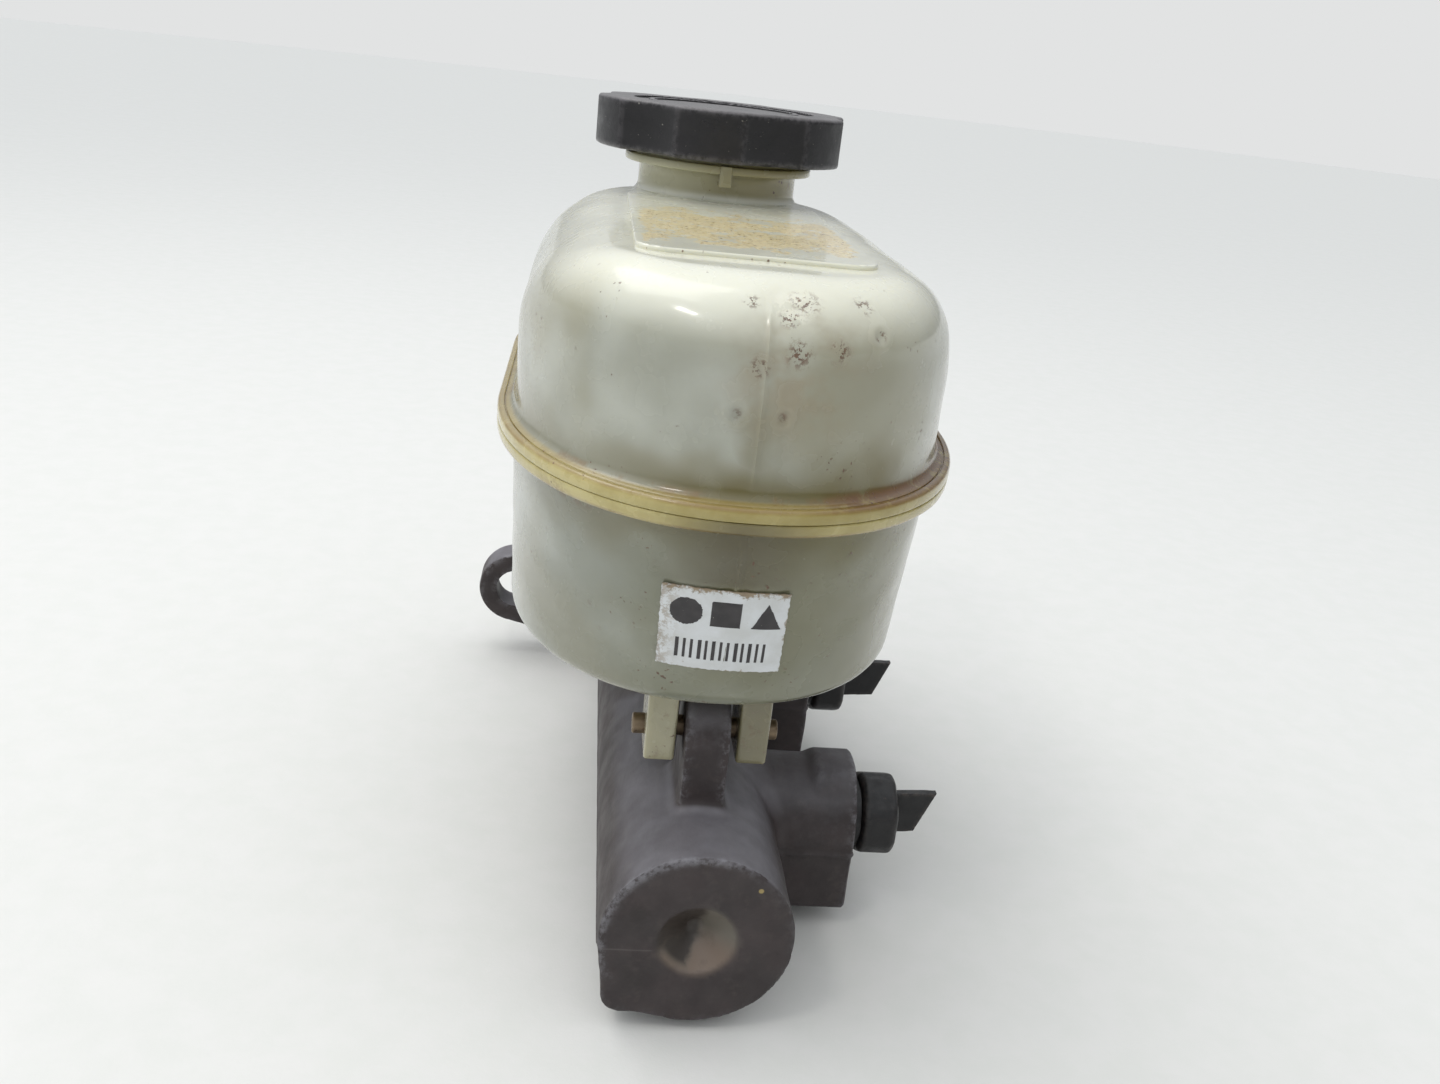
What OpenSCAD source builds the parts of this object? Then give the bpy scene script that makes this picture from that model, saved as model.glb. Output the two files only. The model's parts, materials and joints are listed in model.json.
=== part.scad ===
// Tandem brake master cylinder with a two-chamber plastic fluid reservoir.
// The origin is the centre of the mounting flange's rear face, on the bore axis.
// +Y points back to the brake booster, +Z up to the filler cap, +X to the outlet ports.

/* [Cylinder body] */
// Diameter of the bore the two pistons run in
bore_d = 22.22; // [20.5:0.01:22.5]
// Outside diameter of the cast barrel
barrel_d = 36.6; // [36:0.1:38]
// Length of the body from its front face to the flange face
body_len = 166; // [164:1:172]
// Diameter of the conical centring dimple in the front face
dimple_d = 15.4; // [10:0.1:18]

/* [Mounting flange] */
// Distance between the two stud holes
stud_spacing = 85.7; // [82:0.1:90]
// Diameter of a stud hole
stud_hole_d = 11; // [9:0.1:12]
// Thickness of the flange
flange_t = 9.5; // [8:0.1:11]
// Diameter of the pilot spigot that enters the booster
spigot_d = 35; // [34:0.1:36]
// Length of the pilot spigot
spigot_len = 24; // [24:0.5:28]

/* [Outlet ports] */
// Distance from the flange face to the front port
front_port_y = 121.7; // [120:0.1:124]
// Distance from the flange face to the rear port
rear_port_y = 58; // [57.5:0.1:60]
// Distance from the bore axis to a port's sealing face
port_face_x = 35.5; // [33:0.1:38]
// Diameter of a port's bore
port_d = 10.2; // [9.6:0.1:11]

/* [Reservoir] */
// Half of the reservoir's width at the weld ring, walls only
tank_half_w = 40.4; // [39:0.1:42]
// Height of the weld joint above the bore axis
joint_z = 84.5; // [82:0.5:88]
// Height of the reservoir's flat top
tank_top_z = 121; // [119:0.5:123]
// Wall thickness of both shells
wall = 2.6; // [2:0.1:3]

/* [Filler cap] */
// Largest diameter of the filler cap
cap_d = 57; // [55:0.1:58]
// Height of the filler cap
cap_h = 10.6; // [10:0.1:12]
// Rise of the cap's thread for one turn
thread_pitch = 5; // [4:0.1:6]

/* [Stroke] */
// Full travel of the primary piston
stroke = 26; // [20:1:26]

/* [Hidden] */
$fn = 72;
eps = 0.01;

// Running clearance between pistons and bore, on the radius
run_gap = 0.06;
// Gap between faces that only rest against each other
rest_gap = 0.1;

bore_r = bore_d / 2;
barrel_r = barrel_d / 2;
spigot_r = spigot_d / 2;
front_y = -body_len;
bore_end_y = front_y + 18;

// Pistons: every distance is measured along Y from the flange face
primary_rear_y = 15;
primary_head_y = -29.3;
primary_nose_y = -38;
secondary_rear_y = primary_nose_y - 1 - stroke;
secondary_head_y = -88.3;
secondary_nose_y = -97;
cup_len = 4.5;
land_r = bore_r - run_gap;
cup_r = bore_r - 0.03;
stem_r = 7.6;
socket_r = 4.5;
socket_depth = 22;

// Mouth of the bore: stop washer and retaining ring
mouth_r = 12.9;
washer_y = primary_rear_y + rest_gap;
washer_t = 2.5;
ring_t = 1.4;
ring_groove_r = 14;

// Fluid inlets and their bosses on top of the barrel
inlet_y = [-89, -30];
inlet_boss_r = 13;
inlet_boss_z = 28;
grommet_hole_r = 10;
grommet_seat_z = 19;
nipple_r = 6;
nipple_bore_r = 4;

// Outlet port bosses
ports_y = [-front_port_y, -rear_port_y];
port_z = 1.2;
port_boss_r = 12.4;
port_boss_half_y = 11;
port_boss_bottom_z = -16;
port_r = port_d / 2;
port_floor_x = 19;
passage_r = 1;

// Rib on the barrel, the reservoir's two lugs and the pin through them
pin_y = -141.5;
pin_z = 31.5;
pin_r = 2;
pin_len = 28;
rib_half_w = 4.35;
rib_r = 8.5;
lug_inner_x = 5.9;
lug_w = 5.8;
lug_half_y = 6;
lug_bottom_z = 27;

// Reservoir outline, seen from above: rounded front and rear joined by straight sides
tank_bottom_z = 42.7;
tank_front_y = -168.8;
tank_rear_y = -19;
front_depth = 57;
front_depth_bottom = 50;
front_depth_top = 12;
rear_depth = 48;
rear_depth_top = 28;
front_draft = 13.2;
side_draft = 0.9;
front_power = 2.15;
top_power = 2.55;
// Shoulder between the side walls and the flat top; the front one starts higher and is tighter
shoulder_z = 101;
shoulder_in = 19;
front_shoulder_z = 110;
front_shoulder_in = 14.7;
weld_lip = 3.3;
weld_t = 2.5;
outline_steps = 28;
shoulder_steps = 10;
baffle_y = -72;
baffle_t = 2;
baffle_top_z = 78;

// Neck, its stop ring and the cap
neck_y = -51.5;
neck_r = 18.1;
neck_bore_r = 15.4;
stop_ring_r = 21.4;
stop_ring_z = 127.8;
stop_ring_t = 1.8;
thread_core_r = 19.8;
thread_crest_r = 21.2;
neck_top_z = 137.4;
cap_z = 130.7;
cap_r = cap_d / 2;
cap_bore_r = 22.4;
cap_roof_z = cap_z + cap_h - 2.7;
cap_turn = -10;
flute_depth = 1.5;
flute_r = 45;
lobes = 6;

// Springs
wire_r = 0.9;
spring_r = 8.4;
small_spring_r = 7.6;

// ---- helpers -------------------------------------------------------------

// Round bar along Y from y0 to y1
module bar_y(r, y0, y1) {
    translate([0, y1, 0]) rotate([90, 0, 0]) cylinder(r = r, h = y1 - y0);
}

// Ring along Y from y0 to y1
module ring_y(r_out, r_in, y0, y1) {
    difference() {
        bar_y(r_out, y0, y1);
        bar_y(r_in, y0 - 1, y1 + 1);
    }
}

// Round bar along X from x0 to x1
module bar_x(r, x0, x1) {
    translate([x0, 0, 0]) rotate([0, 90, 0]) cylinder(r = r, h = x1 - x0);
}

// Ring standing on z0
module ring_z(r_out, r_in, z0, h) {
    translate([0, 0, z0]) difference() {
        cylinder(r = r_out, h = h);
        translate([0, 0, -1]) cylinder(r = r_in, h = h + 2);
    }
}

// Round wire wound along Z: radius of the coil, wire radius, height and number of turns
module coil(r, wire, height, turns, sides = 8, steps = 18) {
    n = round(turns * steps);
    tilt = atan2(height, turns * 2 * PI * r);
    points = [for (k = [0:n]) let (a = k * 360 / steps, z = height * k / n)
        for (j = [0:sides - 1]) let (b = j * 360 / sides,
            u = wire * cos(b), v = wire * sin(b))
            [(r + u) * cos(a) + v * sin(tilt) * sin(a),
             (r + u) * sin(a) - v * sin(tilt) * cos(a),
             z + v * cos(tilt)]];
    sides_faces = [for (k = [0:n - 1], j = [0:sides - 1]) let (j2 = (j + 1) % sides)
        each [[k * sides + j, (k + 1) * sides + j, (k + 1) * sides + j2],
              [k * sides + j, (k + 1) * sides + j2, k * sides + j2]]];
    ends = [[for (j = [0:sides - 1]) j], [for (j = [sides - 1:-1:0]) n * sides + j]];
    polyhedron(points = points, faces = concat(sides_faces, ends), convexity = 10);
}

function signed_power(v, p) = sign(v) * pow(abs(v), p);
function mix(a, b, w) = a + (b - a) * w;

// One horizontal outline of the reservoir at height z, as two half super-ellipses
function outline(half_w, front, front_d, rear, rear_d, power, z) = concat(
    [for (k = [0:outline_steps]) let (t = 180 + 180 * k / outline_steps)
        [half_w * signed_power(cos(t), 2 / power),
         front + front_d * (1 - pow(abs(sin(t)), 2 / power)), z]],
    [for (k = [0:outline_steps]) let (t = 180 * k / outline_steps)
        [half_w * signed_power(cos(t), 2 / power),
         rear - rear_d * (1 - pow(abs(sin(t)), 2 / power)), z]]);

// Solid skinned over a stack of outlines
module loft(levels) {
    m = len(levels[0]);
    top = len(levels) - 1;
    walls = [for (k = [0:top - 1], i = [0:m - 1]) let (j = (i + 1) % m)
        each [[k * m + i, (k + 1) * m + i, (k + 1) * m + j],
              [k * m + i, (k + 1) * m + j, k * m + j]]];
    caps = [[for (i = [0:m - 1]) i], [for (i = [m - 1:-1:0]) top * m + i]];
    polyhedron(points = [for (ring = levels) each ring], faces = concat(walls, caps));
}

// Outline of the lower shell at height z, moved inwards by an inset
function lower_outline(z, inset) = let (s = (z - tank_bottom_z) / (joint_z - tank_bottom_z))
    outline(tank_half_w - side_draft * (1 - s) - inset,
            tank_front_y + front_draft * (1 - s) + inset,
            mix(front_depth_bottom, front_depth, s) - inset,
            tank_rear_y - side_draft * (1 - s) - inset, rear_depth - inset, front_power, z);

// Outline of the upper shell's upright wall at height z
function upper_outline(z, inset) = outline(tank_half_w - inset, tank_front_y + inset,
    front_depth - inset, tank_rear_y - inset, rear_depth - inset, front_power, z);

// Outline on the shoulder, t degrees round from the wall to the flat top
function shoulder_outline(t, inset) = let (
    top = tank_top_z - inset,
    z = mix(shoulder_z, top, sin(t)),
    w = 1 - cos(t),
    rise = max(0, z - front_shoulder_z) / (top - front_shoulder_z),
    front_in = front_shoulder_in * (1 - sqrt(max(0, 1 - rise * rise))))
    outline(tank_half_w - inset - shoulder_in * w, tank_front_y + inset + front_in,
            mix(front_depth, front_depth_top, w) - inset,
            tank_rear_y - inset - shoulder_in * w,
            mix(rear_depth, rear_depth_top, w) - inset, mix(front_power, top_power, w), z);

// ---- cylinder ------------------------------------------------------------

module flange_outline() {
    ear_r = stud_hole_d / 2 + 5;
    hub_r = 20.5;
    half = stud_spacing / 2;
    lean = asin((hub_r - ear_r) / half);
    circle(r = hub_r);
    for (side = [-1, 1]) translate([side * half, 0]) circle(r = ear_r);
    for (side = [-1, 1]) polygon([
        [side * hub_r * sin(lean), hub_r * cos(lean)],
        [side * (half + ear_r * sin(lean)), ear_r * cos(lean)],
        [side * (half + ear_r * sin(lean)), -ear_r * cos(lean)],
        [side * hub_r * sin(lean), -hub_r * cos(lean)]]);
}

// Square-cornered casting pad low on the left of the front end
module corner_pad() {
    pad_r = 4.3;
    translate([0, front_y + 38, 0]) rotate([90, 0, 0]) linear_extrude(38) {
        translate([-12.7, -12.2]) circle(r = pad_r);
        translate([-17, -12.2]) square([9, 8]);
        translate([-12.7, -16.5]) square([8, 9]);
    }
}

module port_boss() {
    rotate([0, 90, 0]) linear_extrude(port_face_x) {
        translate([-port_z, 0]) circle(r = port_boss_r);
        translate([-port_z, -port_boss_half_y])
            square([port_z - port_boss_bottom_z, 2 * port_boss_half_y]);
    }
}

// Rib that the reservoir's lugs straddle
module pin_rib() {
    translate([-rib_half_w, pin_y, 0]) rotate([90, 0, 90]) linear_extrude(2 * rib_half_w) {
        translate([0, pin_z - 1]) circle(r = rib_r);
        translate([-rib_r, 0]) square([2 * rib_r, pin_z - 1]);
    }
}

module body_solid() {
    bar_y(barrel_r, front_y, 0);
    bar_y(spigot_r, -1, spigot_len);
    rotate([90, 0, 0]) linear_extrude(flange_t) flange_outline();
    corner_pad();
    for (y = inlet_y) translate([0, y, 0]) cylinder(r = inlet_boss_r, h = inlet_boss_z);
    for (y = ports_y) translate([0, y, 0]) port_boss();
    pin_rib();
}

module cylinder_body() {
    seal_groove_r = spigot_r - 2;
    color("#4c4a4d") difference() {
        body_solid();
        // main bore, its blind end and the mouth
        bar_y(bore_r, bore_end_y, spigot_len + 1);
        bar_y(mouth_r, primary_rear_y - 1, spigot_len + 1);
        bar_y(ring_groove_r, washer_y + washer_t, washer_y + washer_t + ring_t + 0.1);
        // seat of the vacuum seal
        ring_y(spigot_r + 1, seal_groove_r, 2, 5);
        // stud holes
        for (side = [-1, 1]) translate([side * stud_spacing / 2, 0, 0])
            bar_y(stud_hole_d / 2, -flange_t - 1, 1);
        // dimple in the front face
        translate([0, front_y, 0]) rotate([90, 0, 0]) translate([0, 0, -5.2])
            cylinder(r1 = 1.5, r2 = dimple_d / 2 + 0.01, h = 5.21);
        // fluid inlets: counterbore, feed hole and the fine compensating hole ahead of it
        for (y = inlet_y) translate([0, y, 0]) {
            translate([0, 0, grommet_seat_z]) cylinder(r = grommet_hole_r, h = 20);
            translate([0, 2.4, 5]) cylinder(r = passage_r, h = 20);
            translate([0, -4.5, 5]) cylinder(r = 0.45, h = 20);
        }
        // outlet ports and their passages into the bore
        for (y = ports_y) translate([0, y, port_z]) {
            bar_x(port_r, port_floor_x, port_face_x + 1);
            translate([0, -3.3, 0]) bar_x(passage_r, 4, port_floor_x + 1);
        }
        // pin hole in the rib
        translate([0, pin_y, pin_z]) bar_x(pin_r + 0.02, -rib_half_w - 1, rib_half_w + 1);
    }
}

module pilot_seal() {
    color("#1c1c1e") translate([0, 3.5, 0]) rotate([90, 0, 0])
        rotate_extrude() translate([spigot_r - 0.6, 0]) circle(r = 1.35, $fn = 32);
}

module stop_washer() {
    color("silver") ring_y(mouth_r - 0.1, 7, washer_y, washer_y + washer_t);
}

// Internal retaining ring with a gap and two plier lugs
module retaining_ring() {
    y0 = washer_y + washer_t + 0.05;
    lug_r = 1.9;
    color("dimgray") translate([0, y0 + ring_t, 0]) rotate([90, 0, 0])
        linear_extrude(ring_t) difference() {
            union() {
                difference() {
                    circle(r = ring_groove_r - 0.1);
                    circle(r = ring_groove_r - 2.2);
                    translate([-3, -ring_groove_r - 1]) square([6, 6]);
                }
                for (side = [-1, 1]) translate([side * 4.4, -10.6]) circle(r = lug_r);
            }
            for (side = [-1, 1]) translate([side * 4.4, -10.6]) circle(r = 0.9);
        }
}

// ---- pistons -------------------------------------------------------------

module primary_piston() {
    color("#b9a77c") difference() {
        union() {
            bar_y(land_r, 5.2, primary_rear_y);
            bar_y(stem_r, primary_head_y, 6);
            bar_y(land_r, -2.5, 0.5);
            bar_y(land_r, primary_head_y, primary_head_y + 2.2);
            bar_y(6, primary_nose_y, primary_head_y + 1);
        }
        bar_y(socket_r, primary_rear_y - socket_depth, primary_rear_y + 1);
    }
}

// Pressure cup with its lip opened towards the front
module cup(y0) {
    difference() {
        bar_y(cup_r, y0 - cup_len, y0);
        bar_y(6.02, y0 - cup_len - 1, y0 + 1);
        translate([0, y0 - cup_len - eps, 0]) ring_y(cup_r - 1.5, 7.6, -1, 2.6);
    }
}

module primary_pressure_cup() {
    color("#202022") cup(primary_head_y - 0.01);
}

module primary_rear_seal() {
    color("#202022") ring_y(cup_r, stem_r + 0.02, 0.6, 5.1);
}

module primary_spring_seat() {
    y0 = primary_nose_y - 1.5;
    color("silver") {
        ring_y(10.2, 3, y0, primary_nose_y - 0.01);
        ring_y(5.9, 3, y0 - 5, y0 + eps);
    }
}

module primary_spring() {
    seat_y = primary_nose_y - 1.5 - wire_r - 0.05;
    far_y = secondary_rear_y + wire_r + 0.05;
    color("gainsboro") translate([0, seat_y, 0]) rotate([90, 0, 0])
        coil(spring_r, wire_r, seat_y - far_y, 5.5);
}

module secondary_piston() {
    color("#b9a77c") {
        bar_y(land_r, secondary_rear_y - 2, secondary_rear_y);
        bar_y(stem_r, secondary_head_y, secondary_rear_y - 1);
        bar_y(land_r, secondary_rear_y - 9.5, secondary_rear_y - 6.9);
        bar_y(land_r, secondary_head_y, secondary_head_y + 2.2);
        bar_y(6, secondary_nose_y, secondary_head_y + 1);
    }
}

module secondary_pressure_cup() {
    color("#202022") cup(secondary_head_y - 0.01);
}

// Cup on the rear of the secondary piston, its lip opened towards the primary chamber
module secondary_rear_cup() {
    y0 = secondary_rear_y - 6.8;
    color("#202022") difference() {
        ring_y(cup_r, stem_r + 0.02, y0, y0 + cup_len);
        ring_y(cup_r - 1, stem_r + 1, y0 + cup_len - 1.6, y0 + cup_len + 1);
    }
}

module secondary_spring_seat() {
    y0 = secondary_nose_y - 1.5;
    color("silver") {
        ring_y(10.2, 3, y0, secondary_nose_y - 0.01);
        ring_y(5.9, 3, y0 - 5, y0 + eps);
    }
}

module secondary_spring() {
    seat_y = secondary_nose_y - 1.5 - wire_r - 0.05;
    far_y = bore_end_y + wire_r + 0.05;
    color("gainsboro") translate([0, seat_y, 0]) rotate([90, 0, 0])
        coil(small_spring_r, wire_r, seat_y - far_y, 9.5);
}

// ---- fluid connections ---------------------------------------------------

module inlet_grommet() {
    color("#242426") difference() {
        union() {
            translate([0, 0, grommet_seat_z]) cylinder(r = grommet_hole_r,
                h = inlet_boss_z - grommet_seat_z);
            translate([0, 0, inlet_boss_z]) cylinder(r = 12, h = 2.6);
        }
        translate([0, 0, grommet_seat_z - 1]) cylinder(r = nipple_r, h = 20);
    }
}

module front_inlet_grommet() {
    translate([0, inlet_y[0], 0]) inlet_grommet();
}

module rear_inlet_grommet() {
    translate([0, inlet_y[1], 0]) inlet_grommet();
}

// Conical brass seat at the bottom of a port
module port_seat() {
    color("#b08d3c") difference() {
        union() {
            bar_x(port_r, port_floor_x, port_floor_x + 1.5);
            translate([port_floor_x + 1.5 - eps, 0, 0]) rotate([0, 90, 0])
                cylinder(r1 = 4, r2 = 2, h = 3);
        }
        bar_x(1.2, port_floor_x + 1, port_floor_x + 6);
        translate([0, -3.3, 0]) bar_x(passage_r, port_floor_x - 1, port_floor_x + 6);
    }
}

module front_port_seat() {
    translate([0, ports_y[0], port_z]) port_seat();
}

module rear_port_seat() {
    translate([0, ports_y[1], port_z]) port_seat();
}

// Transport plug: stub in the port, collar, six-sided head and a finger fin
module port_plug(fin_len) {
    head_x = port_face_x + 2;
    head_len = 8;
    head_r = 9;
    bevel = 1.6;
    fin_half_t = 0.9;
    fin_x = head_x + head_len;
    color("#1f1f21") {
        bar_x(port_r - 0.07, port_floor_x + 6, port_face_x + 1);
        bar_x(7.4, port_face_x + 0.3, head_x + 1);
        intersection() {
            translate([head_x, 0, 0]) rotate([0, 90, 0]) cylinder(r = 9.9, h = head_len, $fn = 6);
            translate([head_x, 0, 0]) rotate([0, 90, 0]) rotate_extrude() polygon([
                [0, 0], [head_r - bevel, 0], [head_r, bevel], [head_r, head_len - bevel],
                [head_r - bevel, head_len], [0, head_len]]);
        }
        translate([0, fin_half_t, 0]) rotate([90, 0, 0]) linear_extrude(2 * fin_half_t) polygon([
            [fin_x - 1, -4.8], [fin_x + fin_len - 3.8, -4],
            [fin_x + fin_len, 5.7], [fin_x - 1, 5.2]]);
    }
}

module front_port_plug() {
    translate([0, ports_y[0], port_z]) port_plug(9.6);
}

module rear_port_plug() {
    translate([0, ports_y[1], port_z]) port_plug(13);
}

// ---- reservoir -----------------------------------------------------------

module lower_skin() {
    loft([lower_outline(tank_bottom_z, 3), lower_outline(tank_bottom_z + 0.8, 1.2),
          lower_outline(tank_bottom_z + 2.6, 0.2), lower_outline(tank_bottom_z + 8, 0),
          lower_outline(joint_z, 0)]);
}

module lower_cavity() {
    loft([lower_outline(tank_bottom_z + wall, wall + 2),
          lower_outline(tank_bottom_z + wall + 2, wall),
          lower_outline(joint_z + 1, wall)]);
}

module weld_ring(z0) {
    translate([0, 0, z0]) linear_extrude(weld_t)
        polygon([for (p = upper_outline(0, -weld_lip)) [p[0], p[1]]]);
}

// Two square lugs that straddle the body's rib
module lugs() {
    for (x0 = [lug_inner_x, -lug_inner_x - lug_w])
        translate([x0, pin_y, 0]) rotate([90, 0, 90]) linear_extrude(lug_w)
            translate([-lug_half_y, lug_bottom_z])
                square([2 * lug_half_y, tank_bottom_z + 1 - lug_bottom_z]);
}

module nipple() {
    shoulder_r = 8.5;
    translate([0, 0, grommet_seat_z + 1.4]) cylinder(r = nipple_r, h = 26);
    translate([0, 0, inlet_boss_z + 3]) cylinder(r = shoulder_r,
        h = tank_bottom_z + 1 - inlet_boss_z - 3);
}

module baffle() {
    half = tank_half_w - wall - 0.5;
    translate([-half, baffle_y - baffle_t / 2, tank_bottom_z + 1])
        cube([2 * half, baffle_t, baffle_top_z - tank_bottom_z - 1]);
}

module reservoir_lower_shell() {
    color("#cfcdb4") difference() {
        union() {
            difference() {
                union() {
                    lower_skin();
                    weld_ring(joint_z - weld_t);
                }
                lower_cavity();
            }
            intersection() {
                lower_skin();
                baffle();
            }
            lugs();
            for (y = inlet_y) translate([0, y, 0]) nipple();
        }
        for (y = inlet_y) translate([0, y, grommet_seat_z]) cylinder(r = nipple_bore_r, h = 40);
        translate([0, pin_y, pin_z]) bar_x(pin_r + 0.02, -20, 20);
    }
}

// Outlines from the weld joint over the rounded shoulder to the flat top
function dome(z0, inset) = concat(
    [upper_outline(z0, inset), upper_outline(shoulder_z, inset)],
    [for (k = [1:shoulder_steps]) shoulder_outline(90 * k / shoulder_steps, inset)]);

module upper_skin() {
    loft(dome(joint_z, 0));
}

module upper_cavity() {
    loft(dome(joint_z - 1, wall));
}

// Slightly raised flat land in front of and around the neck
module top_land() {
    half_w = 21;
    front = -145;
    corner = 5;
    z0 = tank_top_z - 2.4;
    for (side = [-1, 1]) translate([side * (half_w - corner), front + corner, z0])
        cylinder(r = corner, h = 3.2);
    translate([-half_w, front + corner, z0]) cube([2 * half_w, neck_y - front - corner, 3.2]);
    translate([-half_w + corner, front, z0]) cube([2 * (half_w - corner), corner + 1, 3.2]);
}

module neck() {
    translate([0, neck_y, 0]) {
        translate([0, 0, tank_top_z - 6]) cylinder(r = neck_r, h = stop_ring_z - tank_top_z + 7);
        translate([0, 0, stop_ring_z]) cylinder(r = stop_ring_r, h = stop_ring_t);
        translate([0, 0, stop_ring_z]) cylinder(r = thread_core_r, h = neck_top_z - stop_ring_z);
        translate([0, 0, stop_ring_z + stop_ring_t + 1.2])
            coil(thread_crest_r - 1, 1, thread_pitch * 1.05, 1.05, 6, 24);
    }
}

module reservoir_upper_shell() {
    color("#d6d5c4") difference() {
        union() {
            upper_skin();
            weld_ring(joint_z);
            top_land();
            neck();
        }
        upper_cavity();
        translate([0, neck_y, tank_top_z - 12]) cylinder(r = neck_bore_r, h = 40);
    }
}

// Slotted spring-steel pin
module reservoir_roll_pin() {
    color("#6f6256") translate([0, pin_y, pin_z]) difference() {
        bar_x(pin_r, -pin_len / 2, pin_len / 2);
        bar_x(1.1, -pin_len, pin_len);
        translate([-pin_len, -0.35, -pin_r - 1]) cube([2 * pin_len, 0.7, pin_r + 1]);
    }
}

// Paper label lying on the sloping front wall
module reservoir_label() {
    label_w = 22;
    label_h = 18;
    label_z = 52.3;
    slope = atan2(front_draft, joint_z - tank_bottom_z);
    front = tank_front_y + front_draft * (1 - (label_z - tank_bottom_z) / (joint_z - tank_bottom_z));
    color("white") translate([-1.4, front - 0.55, label_z]) rotate([slope, 0, 0])
        translate([-label_w / 2, 0, 0]) cube([label_w, 0.25, label_h]);
}

// ---- filler cap ----------------------------------------------------------

// Six rounded lobes with shallow hollows between them
module cap_outline() {
    difference() {
        circle(r = cap_r, $fn = 180);
        for (k = [0:lobes - 1]) rotate(cap_turn - 90 + 30 + k * 60)
            translate([cap_r - flute_depth + flute_r, 0]) circle(r = flute_r, $fn = 360);
    }
}

module filler_cap() {
    bevel = 1;
    color("#3a383c") translate([0, neck_y, 0]) {
        difference() {
            intersection() {
                translate([0, 0, cap_z]) linear_extrude(cap_h) cap_outline();
                translate([0, 0, cap_z]) rotate_extrude() polygon([
                    [0, 0], [cap_r + 0.1, 0], [cap_r + 0.1, cap_h - bevel],
                    [cap_r + 0.1 - bevel, cap_h], [0, cap_h]]);
            }
            translate([0, 0, cap_z - 1]) cylinder(r = cap_bore_r, h = cap_roof_z - cap_z + 1);
            ring_z(26, 24, cap_z - 1, 7);
        }
        translate([0, 0, cap_z + 1.6])
            coil(cap_bore_r + 0.3, 0.8, thread_pitch * 0.75, 0.75, 6, 24);
    }
}

// Rubber bellows that seals the neck and follows the fluid level
module cap_diaphragm() {
    skirt_r = neck_bore_r - 0.8;
    color("#28282a") translate([0, neck_y, 0]) {
        difference() {
            union() {
                translate([0, 0, neck_top_z + rest_gap]) cylinder(r = 20.6,
                    h = cap_roof_z - neck_top_z - 2 * rest_gap);
                translate([0, 0, neck_top_z - 12]) cylinder(r = skirt_r, h = 12.5);
            }
            translate([0, 0, neck_top_z - 10.4]) cylinder(r = skirt_r - 1.6, h = 20);
        }
        ring_z(skirt_r + 0.4, skirt_r - 1, neck_top_z - 5, 1.6);
    }
}

cylinder_body();
pilot_seal();
stop_washer();
retaining_ring();
primary_piston();
primary_pressure_cup();
primary_rear_seal();
primary_spring();
primary_spring_seat();
secondary_piston();
secondary_pressure_cup();
secondary_rear_cup();
secondary_spring();
secondary_spring_seat();
front_inlet_grommet();
rear_inlet_grommet();
front_port_seat();
rear_port_seat();
front_port_plug();
rear_port_plug();
reservoir_lower_shell();
reservoir_upper_shell();
reservoir_roll_pin();
reservoir_label();
filler_cap();
cap_diaphragm();
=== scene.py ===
"""Looks of the tandem brake master cylinder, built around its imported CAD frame.

Lengths are millimetres here and become metres when a mesh is made. The origin is the centre
of the mounting flange's rear face, +Y points to the booster, +Z up, +X to the outlet ports.
"""

import json
import math
from functools import reduce

import bmesh
import bpy
import numpy as np
from mathutils import Matrix, Vector

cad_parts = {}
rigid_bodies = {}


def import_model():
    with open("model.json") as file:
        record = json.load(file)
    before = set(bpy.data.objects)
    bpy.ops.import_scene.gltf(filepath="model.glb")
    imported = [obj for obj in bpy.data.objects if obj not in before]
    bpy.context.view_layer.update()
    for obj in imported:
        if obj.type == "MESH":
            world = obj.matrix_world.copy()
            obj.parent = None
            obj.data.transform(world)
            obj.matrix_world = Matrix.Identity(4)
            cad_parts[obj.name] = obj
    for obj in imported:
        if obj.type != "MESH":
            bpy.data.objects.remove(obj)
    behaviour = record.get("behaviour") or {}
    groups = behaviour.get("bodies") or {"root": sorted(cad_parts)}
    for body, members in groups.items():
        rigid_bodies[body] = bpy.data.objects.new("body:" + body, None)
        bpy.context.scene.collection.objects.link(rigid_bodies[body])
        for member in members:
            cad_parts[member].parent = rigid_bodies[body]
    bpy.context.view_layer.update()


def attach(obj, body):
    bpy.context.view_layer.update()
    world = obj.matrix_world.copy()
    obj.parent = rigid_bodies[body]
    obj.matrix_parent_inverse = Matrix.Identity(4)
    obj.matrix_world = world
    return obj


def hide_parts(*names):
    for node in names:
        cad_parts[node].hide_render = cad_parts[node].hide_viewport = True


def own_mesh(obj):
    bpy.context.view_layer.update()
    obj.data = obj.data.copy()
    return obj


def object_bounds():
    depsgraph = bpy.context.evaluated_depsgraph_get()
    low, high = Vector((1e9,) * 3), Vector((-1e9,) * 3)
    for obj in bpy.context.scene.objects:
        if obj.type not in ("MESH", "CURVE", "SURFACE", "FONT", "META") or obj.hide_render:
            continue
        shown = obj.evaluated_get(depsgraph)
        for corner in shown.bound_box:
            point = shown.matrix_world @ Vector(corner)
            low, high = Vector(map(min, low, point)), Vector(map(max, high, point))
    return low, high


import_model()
MM = 0.001

# ---- sizes shared by several pieces --------------------------------------

BORE_R, BARREL_R, FRONT_Y = 11.11, 18.3, -166.0
SPIGOT_R, SPIGOT_LEN, STUD_X = 17.5, 23.98, 42.85
INLET_Y = (-89.0, -30.0)
PORT_Y, PORT_X, PORT_Z, PORT_R = (-121.7, -58.0), 35.5, 1.2, 5.1
PIN_Y, PIN_Z, PIN_R = -141.5, 31.5, 2.0
JOINT_Z, TANK_TOP_Z, TANK_BOTTOM_Z, WALL = 84.5, 121.0, 42.7, 2.6
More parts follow.
